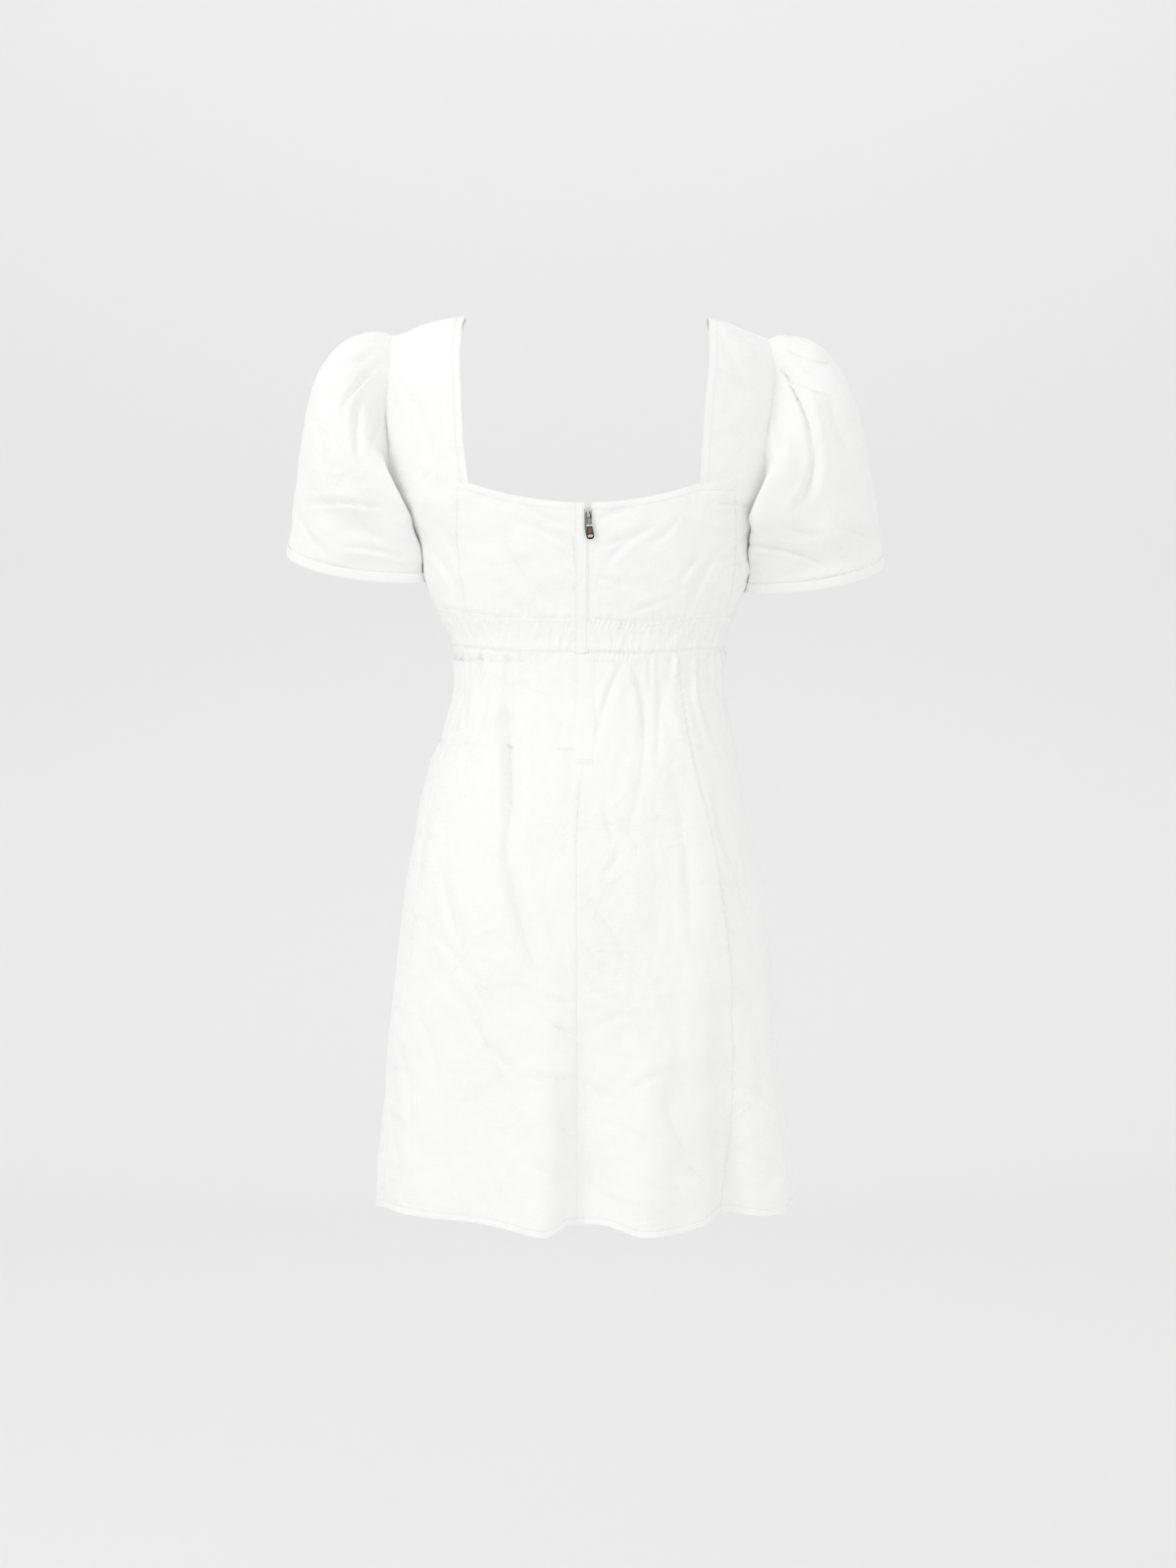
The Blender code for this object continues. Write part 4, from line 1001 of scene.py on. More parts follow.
falls = np.concatenate((np.linspace(0, 0.2, 50)[:-1], np.linspace(0.2, 1, 130)))
PanelGrid = namedtuple("PanelGrid", "columns seams")
SKIRT_PANELS = {
    "left": PanelGrid(100, ("low",)),
    "right": PanelGrid(84, ("high",)),
    "front": PanelGrid(250, ("low", "high")),
}
for panel, (columns, seams) in SKIRT_PANELS.items():
    share, fall = np.meshgrid(np.linspace(0, 1, columns + 1), falls[::-1], indexing="ij")
    z = mix(WAIST_BOTTOM, HEM, fall)
    for _ in range(5):
        low, high = skirt_edges(panel, z)
        degrees = mix(low, high, share)
        z = mix(waist_level(degrees, "bottom"), HEM + hem_rise(turn_between(degrees, 0)), fall)
    points = body_point(degrees, z)
    offset = skirt_relief(points, degrees, (*seams, "top"))
    if panel != "front":
        gap = np.abs(points[..., 0] - centre_edge(z, panel))
        below_zip = smoothstep(TAPE_END + 0.01, TAPE_END - 0.03, z)
        offset *= mix(smoothstep(0.002, 0.012, gap), 1.0, below_zip)
        pucker = seam_relief(gap, z, 1.2, 9.0)
        in_height = smoothstep(-0.72, -0.58, z) * smoothstep(-0.36, -0.50, z)
        turned_away = in_height * smoothstep(0.0, 0.070, gap) * smoothstep(0.12, 0.07, gap)
        if panel == "left":
            lap = 0.0004 * np.exp(-((gap / 0.005) ** 2))
        else:
            lap = -0.0050 * turned_away
        offset += (pucker + lap) * below_zip
    node = "skirt_front" if panel == "front" else f"skirt_back_{panel}"
    cloth(f"skirt_panel_{panel}", node, raised(points, offset))

# %% [markdown]
# ## Puff sleeves
# Each sleeve is a tube swept from the armhole, out over the arm and down to the cuff. The cap is
# longer than the armhole, so it is gathered at the top and puffs out.

# %% Sleeves
Dent = namedtuple("Dent", "side degrees along wide long depth")
SLEEVE_DENTS = table(
    Dent,
    (-1, 75, 0.80, 38, 0.07, -0.0050),
    (-1, 40, 0.90, 24, 0.06, -0.0030),
    (-1, 112, 0.62, 16, 0.22, -0.0045),
    (-1, 262, 0.70, 34, 0.10, -0.0040),
    (1, 88, 0.52, 11, 0.30, -0.0055),
    (1, 128, 0.82, 22, 0.10, -0.0040),
    (1, 66, 0.93, 34, 0.06, -0.0028),
    (1, 270, 0.66, 30, 0.12, -0.0040),
)
SLEEVE_CREASES = table(
    Crease,
    (392, 356, 334, 378, 4, 5, -2.0),
    (390, 372, 350, 420, -4, 5, -2.4),
    (372, 400, 368, 476, -6, 7, -2.6),
    (392, 400, 376, 460, 4, 5, -1.8),
    (372, 440, 396, 490, 4, 6, -2.2),
    (360, 520, 392, 560, -4, 6, -1.5),
    (306, 516, 386, 522, 5, 5, -2.2),
    (306, 530, 342, 570, -6, 5, -1.8),
    (320, 420, 330, 500, 5, 9, -1.4),
    (346, 560, 400, 572, 4, 5, -1.5),
    (352, 386, 326, 420, 3, 5, -1.6),
    (786, 366, 846, 404, -6, 5, -2.6),
    (796, 356, 850, 372, -4, 4, -1.8),
    (788, 366, 829, 468, 9, 7, -3.4),
    (830, 452, 812, 526, 6, 7, -3.0),
    (790, 400, 798, 470, -4, 6, -2.0),
    (776, 528, 796, 552, -4, 8, -2.2),
    (770, 556, 852, 584, 5, 6, -2.0),
    (846, 400, 868, 470, -5, 8, -1.5),
    (850, 540, 896, 556, 4, 6, -1.5),
    (800, 540, 850, 560, 5, 6, -1.3),
)
CAP_GATHER_COUNT = 49
CAP_GATHER_STEP = 4.2  # degrees round the sleeve, from one gather to the next
CapGather = namedtuple("CapGather", "degrees width length depth slant")
cap_draw = np.random.default_rng(47)
CAP_GATHERS = [
    CapGather(
        cap_draw.uniform(-1, 1) * 2.0 + CAP_GATHER_STEP * (i - CAP_GATHER_COUNT // 2),
        cap_draw.uniform(1.0, 2.2),
        cap_draw.uniform(0.10, 0.42),
        cap_draw.uniform(0.0009, 0.0026),
        cap_draw.uniform(-14, 14),
    )
    for i in range(CAP_GATHER_COUNT)
]


def ring_of(side):
    """The armhole's edge as two halves: down the back to the lowest point, and up the front."""
    t = even(np.linspace(0, 1, 60))
    back, front = armhole_angles(side)
    side_seam = 90 * SIGN[side]
    to_low = np.linspace(back, side_seam, 24)
    from_low = np.linspace(side_seam, front, 24)
    down = strap_point(side, 1.0, -t)
    up = strap_point(side, 1.0, t[::-1])
    under_back = body_point(to_low, armhole_level(side, to_low))
    under_front = body_point(from_low, armhole_level(side, from_low * 1.0001))
    return np.concatenate((down, under_back[1:])), np.concatenate((under_front[:-1], up))


def along_halves(halves, share):
    parts = []
    for half in halves:
        length = run_of(half)
        parts.append((half, length / length[-1]))
    (first, a), (second, b) = parts
    wanted_a, wanted_b = np.clip(share * 2, 0, 1), np.clip(share * 2 - 1, 0, 1)
    in_first = stacked(*(np.interp(wanted_a, a, first[:, k]) for k in range(3)))
    in_second = stacked(*(np.interp(wanted_b, b, second[:, k]) for k in range(3)))
    return np.where((share <= 0.5)[..., None], in_first, in_second)


def by_height(top, middle, bottom, turn):
    """A value round the sleeve that is top at 0, middle at a quarter turn and bottom at a half."""
    mean = (top + 2 * middle + bottom) / 4
    tilt = (top - bottom) / 2 * np.cos(turn)
    return mean + tilt + (top - 2 * middle + bottom) / 4 * np.cos(2 * turn)


def arm_frame(side):
    down = Vector((side * math.tan(ARM_OUT), math.tan(ARM_FORWARD), -1)).normalized()
    inward = Vector((-side, 0, 0))
    inward = (inward - inward.dot(down) * down).normalized()
    backward = Vector((0, -1, 0))
    backward = backward - backward.dot(down) * down - backward.dot(inward) * inward
    return (np.array(v) for v in (down, inward, backward.normalized()))


def cuff_point(sleeve, turn, up, grow=0.0):
    down, inward, backward = arm_frame(sleeve.side)
    centre = np.array((sleeve.cuff_x, CUFF_Y, sleeve.cuff_z)) - up * down
    radius = np.asarray(grow)[..., None]
    out = -inward * (CUFF_RADIUS_X + radius) * np.cos(turn)[..., None]
    return centre + out + backward * (CUFF_RADIUS_Y + radius) * np.sin(turn)[..., None]


def sleeve_spine(sleeve, halves, share, along):
    turn = 2 * np.pi * share
    side = np.array((sleeve.side, 0, 0))
    start = along_halves(halves, share)
    puff = -CAP_PUFF * np.sin(turn) * (1 + 0.3 * np.cos(turn))
    reach = by_height(sleeve.cap_reach, 0.036, 0.013, turn)
    rise = by_height(sleeve.cap_rise, 0.016, -0.012, turn)
    leave = start + stacked(sleeve.side * reach, puff, rise)
    end = cuff_point(sleeve, turn, CUFF_HEIGHT)
    down, _, _ = arm_frame(sleeve.side)
    clear = by_height(0, 0, 0.007, turn)
    fall = by_height(0.090, 0.056, 0.014, turn)
    arrive = end - down * fall[..., None] + side * clear[..., None] + stacked(0, puff * 0.5, 0)
    t = along[..., None]
    near_start = start * (1 - t) ** 3 + leave * 3 * (1 - t) ** 2 * t
    return near_start + arrive * 3 * (1 - t) * t**2 + end * t**3


def cap_gathers(degrees, along, side):
    total = np.zeros(degrees.shape)
    for g in CAP_GATHERS:
        aside = turn_between(degrees, g.degrees * side + g.slant * along)
        fade = smoothstep(-0.005, 0.03, along) * np.clip(1 - along / g.length, 0, 1) ** 1.2
        total += g.depth * fade * ridge(aside / (g.width * (1 + 3 * along)))
    return total * (1 - smoothstep(38, 66, np.abs(turn_between(degrees, 0))))


SPREAD_BACK, SPREAD_FRONT, SPREAD_WIDTH = 143, 217, 34  # degrees round the sleeve
SPREAD_INWARD, SPREAD_APART = 0.019, 0.017
LYING_GAP = 0.0009  # between the bodice and the cloth that lies on it


def pressed(points, share, amount, side):
    """The side of a sleeve that hangs against the body spreads and lies on it."""
    to_back, to_front = (
        np.exp(-((turn_between(360 * share, middle) / SPREAD_WIDTH) ** 2))
        for middle in (SPREAD_BACK, SPREAD_FRONT)
    )
    inward = -side * SPREAD_INWARD * (to_back + to_front)
    shift = stacked(inward, SPREAD_APART * (to_front - to_back), 0.0)
    moved = points + shift * amount[..., None]
    turn = np.degrees(np.arctan2(moved[..., 0], -moved[..., 1]))
    wall = body_point(turn, moved[..., 2], LYING_GAP)
    short = np.hypot(wall[..., 0], wall[..., 1]) - np.hypot(moved[..., 0], moved[..., 1])
    lying = (to_back + to_front > 0.1) & (moved[..., 2] < STRAP_SEAM)
    inside = (short > 0) & (amount > 0) & lying
    moved[inside] = wall[inside]
    return moved


for name, sleeve in SLEEVES.items():
    halves = ring_of(name)
    share, along = share_grid(208, 96)
    share = 1 - share if sleeve.side < 0 else share
    base = sleeve_spine(sleeve, halves, share, along)
    outward = base - base.mean(axis=0, keepdims=True)
    outward /= np.linalg.norm(outward, axis=-1, keepdims=True)
    degrees = 360 * share
    offset = cap_gathers(degrees, along, sleeve.side)
    for dent in SLEEVE_DENTS:
        if dent.side == sleeve.side:
            aside = turn_between(degrees, dent.degrees) / dent.wide
            lengthwise = (along - dent.along) / dent.long
            hollow = dent.depth * np.exp(-(aside**2) - lengthwise**2)
            offset += hollow * smoothstep(0, 0.06, 1 - along)
    shown = smoothstep(0.0, 0.35, -outward[..., 1])
    folds = 1.5 * drawn(SLEEVE_CREASES, base) * shown
    offset += folds * smoothstep(0, 0.05, along) * smoothstep(0, 0.05, 1 - along)
    offset += 0.0008 * swell(base, 0.030, 0.07, 51) * smoothstep(0, 0.1, along)
    offset += 0.0006 * crumple(base, 0.03, 0.08, 53) + 0.00014 * swell(base, 0.009, 0.018, 55)
    offset *= held(base, ("bottom", "top"))
    offset += seam_relief(from_edge(base, "top"), 2 * np.pi * 0.06 * share, 1.0)
    spread = smoothstep(0.0, 0.22, along)
    points = pressed(base + outward * offset[..., None], share, spread, sleeve.side)
    cloth(f"puff_sleeve_{name}", f"sleeve_{name}", points, closed=True)

# %% [markdown]
# ## Cuffs
# A narrow band closes each sleeve. It is turned under at its lower edge, so both of its edges
# roll inwards, and its stitches sit close to the seam.

# %% Cuffs
for name, sleeve in SLEEVES.items():
    turns, rise = share_grid(200, 10)
    angle = 2 * np.pi * turns * (1 if sleeve.side > 0 else -1)
    height = CUFF_HEIGHT * rise
    roll = 0.0006 * np.sqrt(np.clip(1 - (2 * rise - 1) ** 4, 0, None))
    waver = 0.0002 * np.sin(71 * angle + 2 * np.sin(5 * angle)) * (1 - np.abs(2 * rise - 1))
    points = np.empty((*turns.shape, 3))
    for k in range(turns.shape[1]):
        points[:, k] = cuff_point(sleeve, angle[:, k], height[0, k], (roll + waver)[:, k])
    points = pressed(points, angle / (2 * np.pi) % 1, np.ones(turns.shape), sleeve.side)
    cloth(f"cuff_band_{name}", f"cuff_{name}", points, closed=True)

# %% [markdown]
# ## Placket, lap and zip tape
# The zip hides under a narrow placket, sewn on along its left edge. Below
# the waist a second strip covers the zip down to a short bar of stitches.


# %% Strips down the middle of the back
STRIP_COLUMNS = "name node left right levels columns lift thick edge_lift waver slot"
Strip = namedtuple("Strip", STRIP_COLUMNS, defaults=(0.0, 0.0, "cotton"))


def add_strip(strip):
    """A strip between two values of x, which may change with the level."""
    share, z = np.meshgrid(np.linspace(0, 1, strip.columns + 1), strip.levels, indexing="ij")
    x = mix(strip.left, strip.right, share)
    points = body_point(angle_of(x, z, "back"), z, strip.lift)
    flattened = points / np.array((3.0, 3.0, 1.0))
    bumps = strip.waver * swell(flattened, 0.006, 0.016, 61) * np.sin(np.pi * share)
    offset = bumps + strip.edge_lift * np.abs(2 * share - 1) ** 5
    cloth(strip.name, strip.node, raised(points, offset), strip.thick)


def placket_right(z):
    """The flap's free edge draws back where it passes the slider."""
    beside_slider = PIVOT_Z - SLIDER_REACH - 0.004
    narrow = ZIP_X - SLIDER_WIDTH / 2 - 0.0006
    return mix(PLACKET_RIGHT, narrow, smoothstep(beside_slider - 0.020, beside_slider, z))


def strip_levels(bottom, top, steps):
    return np.linspace(bottom, top, steps + 1)


flap_levels = strip_levels(WAIST_BOTTOM, NECK_MIDDLE, 109)
lap_levels = strip_levels(TAPE_END, WAIST_BOTTOM - 0.0003, 79)
tape_levels = strip_levels(TAPE_END, ZIP_TOP, 159)
flap_right = placket_right(flap_levels)
tape_left, tape_right = ZIP_X - TAPE_WIDTH / 2, ZIP_X + TAPE_WIDTH / 2
add_strip(
    Strip(
        "placket_flap", "zip_placket", PLACKET_LEFT, flap_right, flap_levels, 16,
        lift=0.0009, thick=0.0006, edge_lift=-0.0002, waver=0.00016,
    )
)
add_strip(
    Strip(
        "placket_lap", "skirt_placket", PLACKET_LEFT, LAP_RIGHT, lap_levels, 14,
        lift=0.0004, thick=0.0004, edge_lift=-0.0007, waver=0.00004,
    )
)
add_strip(
    Strip(
        "woven_zip_tape", "zip_tape", tape_left, tape_right, tape_levels, 14,
        lift=-0.0018, thick=0.0006, slot="tape",
    )
)

# %% [markdown]
# ## Zip teeth
# Small blocks of metal, set by turns from the left and from the right, so that each one lies
# between two of the other row.

# %% Zip teeth
TOOTH_PITCH = 0.0012
TOOTH_ASIDE = 0.0006
TOOTH_SIZE = Vector((0.0020, 0.0009, 0.0008))


def finished(shape, name, body, node=None):
    """A mesh object from a bmesh, riding on its body."""
    obj = linked(name, mesh_from(name, shape))
    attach(obj, body)
    if node:
        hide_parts(node)
    return obj


TOOTH_SIZE_MATRIX = Matrix.Diagonal((*TOOTH_SIZE, 1))
shape = bmesh.new()
count = int((ZIP_TOP - CHAIN_END) / TOOTH_PITCH)
for i in range(count):
    z = ZIP_TOP - 0.0005 - i * TOOTH_PITCH
    x = ZIP_X + (TOOTH_ASIDE if i % 2 else -TOOTH_ASIDE)
    place = Vector(body_point(angle_of(x, z, "back"), z, -0.0009))
    bmesh.ops.create_cube(shape, size=1, matrix=Matrix.Translation(place) @ TOOTH_SIZE_MATRIX)
bmesh.ops.bevel(shape, geom=shape.edges[:], offset=0.00012, segments=1, affect="EDGES")
finished(shape, "zip_teeth", "dress", "zip_chain")
print("teeth:", count)

# %% [markdown]
# ## Slider and pull tab
# The slider is a rounded plate with a bridge. The pull tab hangs from the bridge: a link,
# a collar, a tapered tab with an inset, and an open loop at its end. Flat outlines are filled
# curves with a small bevel, which gives every edge a highlight.

# %% Slider and pull
PULL_TILT = math.radians(6)
slider_low, slider_high = (Vector(v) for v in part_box("zip_slider"))
pull_low, pull_high = (Vector(v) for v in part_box("zip_pull"))
pull_middle = (pull_low.y + pull_high.y) / 2
print("slider", slider_low, slider_high, "pull", pull_low, pull_high)


def from_curve(curve):
    """A welded bmesh of a curve's shape; the curve's object is removed again."""
    guide = linked(curve.name + "_guide", curve)
    mesh = worked_out(guide)
    bpy.data.objects.remove(guide, do_unlink=True)
    return welded(mesh)


def flat_metal(name, outlines, centre, thick, bevel, body, node=None):
    """A flat shape with holes, standing up and facing the back; the pull hangs a little askew."""
    curve = bpy.data.curves.new(name, "CURVE")
    curve.dimensions = "2D"
    curve.fill_mode = "BOTH"
    curve.extrude = thick / 2 - bevel
    curve.bevel_depth = bevel
    curve.bevel_resolution = 2
    curve.offset = -bevel
    for outline in outlines:
        spline = curve.splines.new("POLY")
        spline.points.add(len(outline) - 1)
        spline.use_cyclic_u = True
        for point, (x, y) in zip(spline.points, outline):
            point.co = (x, y, 0, 1)
    shape = from_curve(curve)
    askew = Matrix.Rotation(PULL_TILT if body == "pull_tab" else 0.0, 4, "Z")
    upright = Matrix.Translation(centre) @ Matrix.Rotation(math.pi / 2, 4, "X") @ askew
    bmesh.ops.transform(shape, matrix=upright, verts=shape.verts)
    bmesh.ops.recalc_face_normals(shape, faces=shape.faces)
    return finished(shape, name, body, node)


def mirrored(rows):
    """A closed outline from rows of (distance below the pivot, half width)."""
    right = [(half, -below) for below, half in rows]
    return right + [(-half, -below) for below, half in reversed(rows)]


def oval(width, height, below=0.0, steps=20):
    turns = [2 * math.pi * i / steps for i in range(steps)]
    return [(width * math.cos(t), height * math.sin(t) - below) for t in turns]


pivot = Vector((ZIP_X, pull_middle, PIVOT_Z))
body_rows = (
    (-0.0051, 0.0020),
    (-0.0044, 0.0026),
    (-0.0010, SLIDER_WIDTH / 2),
    (0.0020, 0.0024),
    (0.0044, 0.0022),
    (0.0053, 0.0016),
)
face = Vector((ZIP_X, slider_high.y - 0.0048, PIVOT_Z))
flat_metal("slider_plate", [mirrored(body_rows)], face, 0.0012, 0.0003, "dress", "zip_slider")

BRIDGE_RADIUS, BRIDGE_STEPS = 0.0006, 16
curve = bpy.data.curves.new("bridge", "CURVE")
curve.dimensions = "3D"
curve.bevel_depth = BRIDGE_RADIUS
curve.bevel_resolution = 3
curve.use_fill_caps = True
spline = curve.splines.new("POLY")
spline.points.add(BRIDGE_STEPS)
for i, point in enumerate(spline.points):
    turn = math.pi * i / BRIDGE_STEPS
    out = face.y - (face.y - slider_low.y - BRIDGE_RADIUS) * math.sin(turn)
    point.co = (ZIP_X, out, PIVOT_Z + 0.0026 * math.cos(turn), 1)
bridge = finished(from_curve(curve), "slider_bridge", "dress")
bridge.data.shade_smooth()

eye = mirrored(((0.0005, 0.0012), (0.0008, 0.0015), (0.0037, 0.0015), (0.0040, 0.0012)))
hole = oval(0.0023, 0.0014, 0.0204)
PULL_COLUMNS = "name rows thick bevel holes out node"
PullPart = namedtuple("PullPart", PULL_COLUMNS, defaults=(0.0010, 0.0003, (), 0.0, None))
link_rows = ((-0.0005, 0.0017), (0.0001, 0.0022), (0.0042, 0.0022), (0.0048, 0.0017))
neck_rows = ((0.0046, 0.0015), (0.0062, 0.0019), (0.0080, 0.0024), (0.0105, 0.0024))
band_rows = ((0.0104, 0.0024), (0.0121, 0.0024))
plate_rows = ((0.0120, 0.0023), (0.0190, 0.0032), (0.0194, 0.0032))
loop_rows = ((0.0186, 0.0032), (0.0212, 0.0033), (0.0228, 0.0026), (0.0235, 0.0014))
inset_rows = ((0.0132, 0.0015), (0.0183, 0.0022))
for part in (
    PullPart("pull_link", link_rows, holes=(eye,), node="zip_pull"),
    PullPart("pull_neck", neck_rows),
    PullPart("pull_band", band_rows, thick=0.0013),
    PullPart("pull_plate", plate_rows, bevel=0.0002),
    PullPart("pull_loop", loop_rows, thick=0.0009, bevel=0.00025, holes=(hole,)),
    PullPart("pull_inset", inset_rows, bevel=0.0001, out=0.0002),
):
    outlines = [mirrored(part.rows), *part.holes]
    centre = pivot - Vector((0, part.out, 0))
    flat_metal(part.name, outlines, centre, part.thick, part.bevel, "pull_tab", part.node)

# %% [markdown]
# ## Stitches
# Topstitching is real geometry: short threads, each a little six-sided spindle, laid end to end
# along a line that is a fixed distance in from a panel's edge.

# %% Stitches
STITCH = 0.0021
STITCH_GAP = 0.0007
THREAD = 0.00022
STITCH_SIDES = 6
Ring = namedtuple("Ring", "share size rise")
STITCH_RINGS = table(Ring, (0.0, 0.3, 0.2), (0.25, 1.0, 1.0), (0.75, 1.0, 1.0), (1.0, 0.3, 0.2))


def point_at(place, run, line):
    """The point of a line where its run reaches the place."""
    return np.array([np.interp(place, run, line[:, k]) for k in range(3)])


def points_at(place, runs, lines):
    return np.array([point_at(place, run, line) for run, line in zip(runs, lines)])


def inset_line(piece, edge, distance, low=0.0, high=1.0):
    """Points and normals along a line inside a panel's edge, between two shares of its length."""
    grids = made[piece]["points"], made[piece]["normals"]
    if edge in ("bottom", "top"):
        grids = [grid.swapaxes(0, 1) for grid in grids]
    if edge in ("high", "top"):
        grids = [grid[::-1] for grid in grids]
    last = grids[0].shape[1] - 1
    part = slice(int(low * last), int(high * last) + 1)
    runs = cumulative(grids[0], 0).T[part]
    return [points_at(distance, runs, grid.swapaxes(0, 1)[part]) for grid in grids]


def add_stitch(verts, faces, ends, up):
    """One stitch: four rings of points, small at both ends, with its middle raised."""
    aside = np.cross((ends[1] - ends[0]) / STITCH, up)
    start, sides = len(verts), STITCH_SIDES
    for ring in STITCH_RINGS:
        middle = mix(ends[0], ends[1], ring.share) + up * THREAD * ring.rise
        for k in range(sides):
            turn = 2 * math.pi * k / sides
            out = aside * math.cos(turn) + up * math.sin(turn)
            verts.append(middle + THREAD * ring.size * out)
    for ring in range(len(STITCH_RINGS) - 1):
        for k in range(sides):
            a, b = start + sides * ring + k, start + sides * ring + (k + 1) % sides
            faces.append((a, b, b + sides, a + sides))
    faces.append([start + k for k in reversed(range(sides))])
    faces.append([len(verts) - sides + k for k in range(sides)])


def stitches(name, lines):
    verts, faces = [], []
    for line, normals in lines:
        run = run_of(line)
        for place in np.arange(0.0005, run[-1] - STITCH, STITCH + STITCH_GAP):
            ends = point_at(place, run, line), point_at(place + STITCH, run, line)
            up = point_at(place, run, normals)
            add_stitch(verts, faces, ends, up / np.linalg.norm(up))
    mesh = bpy.data.meshes.new(name)
    mesh.from_pydata([tuple(v) for v in verts], [], faces)
    mesh.shade_smooth()
    obj = linked(name, mesh)
    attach(obj, "dress")
    print(f"{name}: {len(faces) // 20} stitches")
    return obj


sewing = {
    "back_bodice_left": [("top", 0.006), ("low", 0.0025)],
    "back_bodice_right": [("top", 0.006), ("high", 0.0025)],
    "strap_over_left": [("high", 0.007)],
    "strap_over_right": [("low", 0.007)],
    "ruched_waistband": [("bottom", 0.0022), ("top", 0.0022)],
    "skirt_panel_left": [("bottom", 0.0060)],
    "skirt_panel_right": [("bottom", 0.0060), ("high", 0.0020)],
    "skirt_panel_front": [("bottom", 0.0060)],
    "cuff_band_left": [("top", 0.0018)],
    "cuff_band_right": [("top", 0.0018)],
    "placket_flap": [("low", 0.0012), ("high", 0.0016)],
    "placket_lap": [("bottom", 0.0015), ("bottom", 0.0035)],
}
for piece, lines in sewing.items():
    stitches(f"stitches_{piece}", [inset_line(piece, *line) for line in lines])


def level_line(piece, z, low_x, high_x):
    """The line at one level over a panel, between two values of x."""
    grids = made[piece]["points"], made[piece]["normals"]
    line, upright = (points_at(z, grids[0][..., 2], grid) for grid in grids)
    keep = (line[:, 0] > low_x) & (line[:, 0] < high_x)
    return line[keep], upright[keep]


BAR_LEVELS, BAR_LEFT = (-0.3866, -0.3882), -0.0265
BELOW_WAIST, BELOW_WAIST_END = -0.3095, 0.029
bar = [level_line("skirt_panel_left", z, BAR_LEFT, 0.0) for z in BAR_LEVELS]
stitches("stitches_zip_end", bar)
below_waist = level_line("skirt_panel_right", BELOW_WAIST, 0.0, BELOW_WAIST_END)
stitches("stitches_below_waist", [below_waist])
beside_neck = UNDERARM_STEPS + CORNER_STEPS
front_steps = 2 * beside_neck + NECK_STEPS
neck = [share / front_steps for share in (beside_neck, beside_neck + NECK_STEPS)]
front_neck = inset_line("front_bodice", "top", 0.006, *neck)
stitches("stitches_front_neck", [front_neck])

# %% [markdown]
# ## Columns for what a sheet was cut from
# A pattern cutter would lay these pieces flat: width across, length down. A row would give a
# piece's width, length, area, held and on, but no rows are made. Gathered pieces are cut wider
# than they hang.

# %% Sheets
Cut = namedtuple("Cut", "width length area held on")

# %% [markdown]
# ## Materials
# Three node groups give colours and heights, and each material feeds them into its own shader.
# The nodes come from a few small functions, so that a group reads as a sum.


# %% Node helpers
def new_group(name, inputs, outputs):
    """A node group, with the sockets that it is given and those that it gives back."""
    group = bpy.data.node_groups.new(name, "ShaderNodeTree")
    for label, kind, value in inputs:
        socket = group.interface.new_socket(label, in_out="INPUT", socket_type="NodeSocket" + kind)
        if value is not None:
            socket.default_value = value
    for label, kind in outputs:
        group.interface.new_socket(label, in_out="OUTPUT", socket_type="NodeSocket" + kind)
    given = group.nodes.new("NodeGroupInput").outputs
    return group, given, group.nodes.new("NodeGroupOutput").inputs


def feed(tree, value, socket):
    """Links another node's output to a socket, or sets the socket to a constant."""
    if isinstance(value, bpy.types.NodeSocket):
        tree.links.new(value, socket)
    else:
        socket.default_value = value


def add_node(tree, kind, inputs, **settings):
    node = tree.nodes.new("ShaderNode" + kind)
    for setting, value in settings.items():
        setattr(node, setting, value)
    for label, value in inputs.items():
        feed(tree, value, node.inputs[label])
    return node


def maths(tree, operation, *values):
    return add_node(tree, "Math", dict(enumerate(values)), operation=operation).outputs[0]


def noise(tree, place, scale, detail, distortion=0.0):
    inputs = {"Vector": place, "Scale": scale, "Detail": detail, "Distortion": distortion}
    return add_node(tree, "TexNoise", inputs).outputs["Fac"]


def stretched(tree, value, low, high):
    """The values from low to high, stretched to 0 to 1."""
    inputs = {"Value": value, "From Min": low, "From Max": high}
    return add_node(tree, "MapRange", inputs).outputs["Result"]


def blend(tree, factor, first, second):
    inputs = {"Factor": factor, "A": first, "B": second}
    return add_node(tree, "Mix", inputs, data_type="RGBA").outputs["Result"]


print("node helpers ready")

# %% [markdown]
# A plain weave is two sets of fine threads that cross, as two sine waves multiplied, with slubs
# where a thread is thicker, as noise stretched along each way.

# %% Plain weave
weave, given, gives = new_group(
    "Plain weave",
    (
        ("Place", "Vector", None),
        ("Threads per metre", "Float", 2600.0),
        ("Colour", "Color", (0.9, 0.9, 0.9, 1)),
        ("Slub colour", "Color", (0.8, 0.8, 0.8, 1)),
    ),
    (("Colour", "Color"), ("Height", "Float")),
)
axes = add_node(weave, "SeparateXYZ", {0: given["Place"]}).outputs
threads = []
for axis in ("X", "Y"):
    turn = maths(weave, "MULTIPLY", axes[axis], given["Threads per metre"])
    threads.append(maths(weave, "SINE", maths(weave, "MULTIPLY", turn, math.pi)))
slubs = []
for stretch in ((45, 900, 1), (900, 45, 1)):
    mapping = add_node(weave, "Mapping", {"Vector": given["Place"], "Scale": stretch})
    slubs.append(noise(weave, mapping.outputs[0], 1.0, 3.0))
slub = maths(weave, "SUBTRACT", maths(weave, "ADD", *slubs), 0.6)
over_under = maths(weave, "MULTIPLY", maths(weave, "MULTIPLY", *threads), 0.4)
feed(weave, blend(weave, slub, given["Slub colour"], given["Colour"]), gives["Colour"])
feed(weave, maths(weave, "ADD", over_under, slub), gives["Height"])
print("sockets:", [socket.name for socket in gives if socket.name])

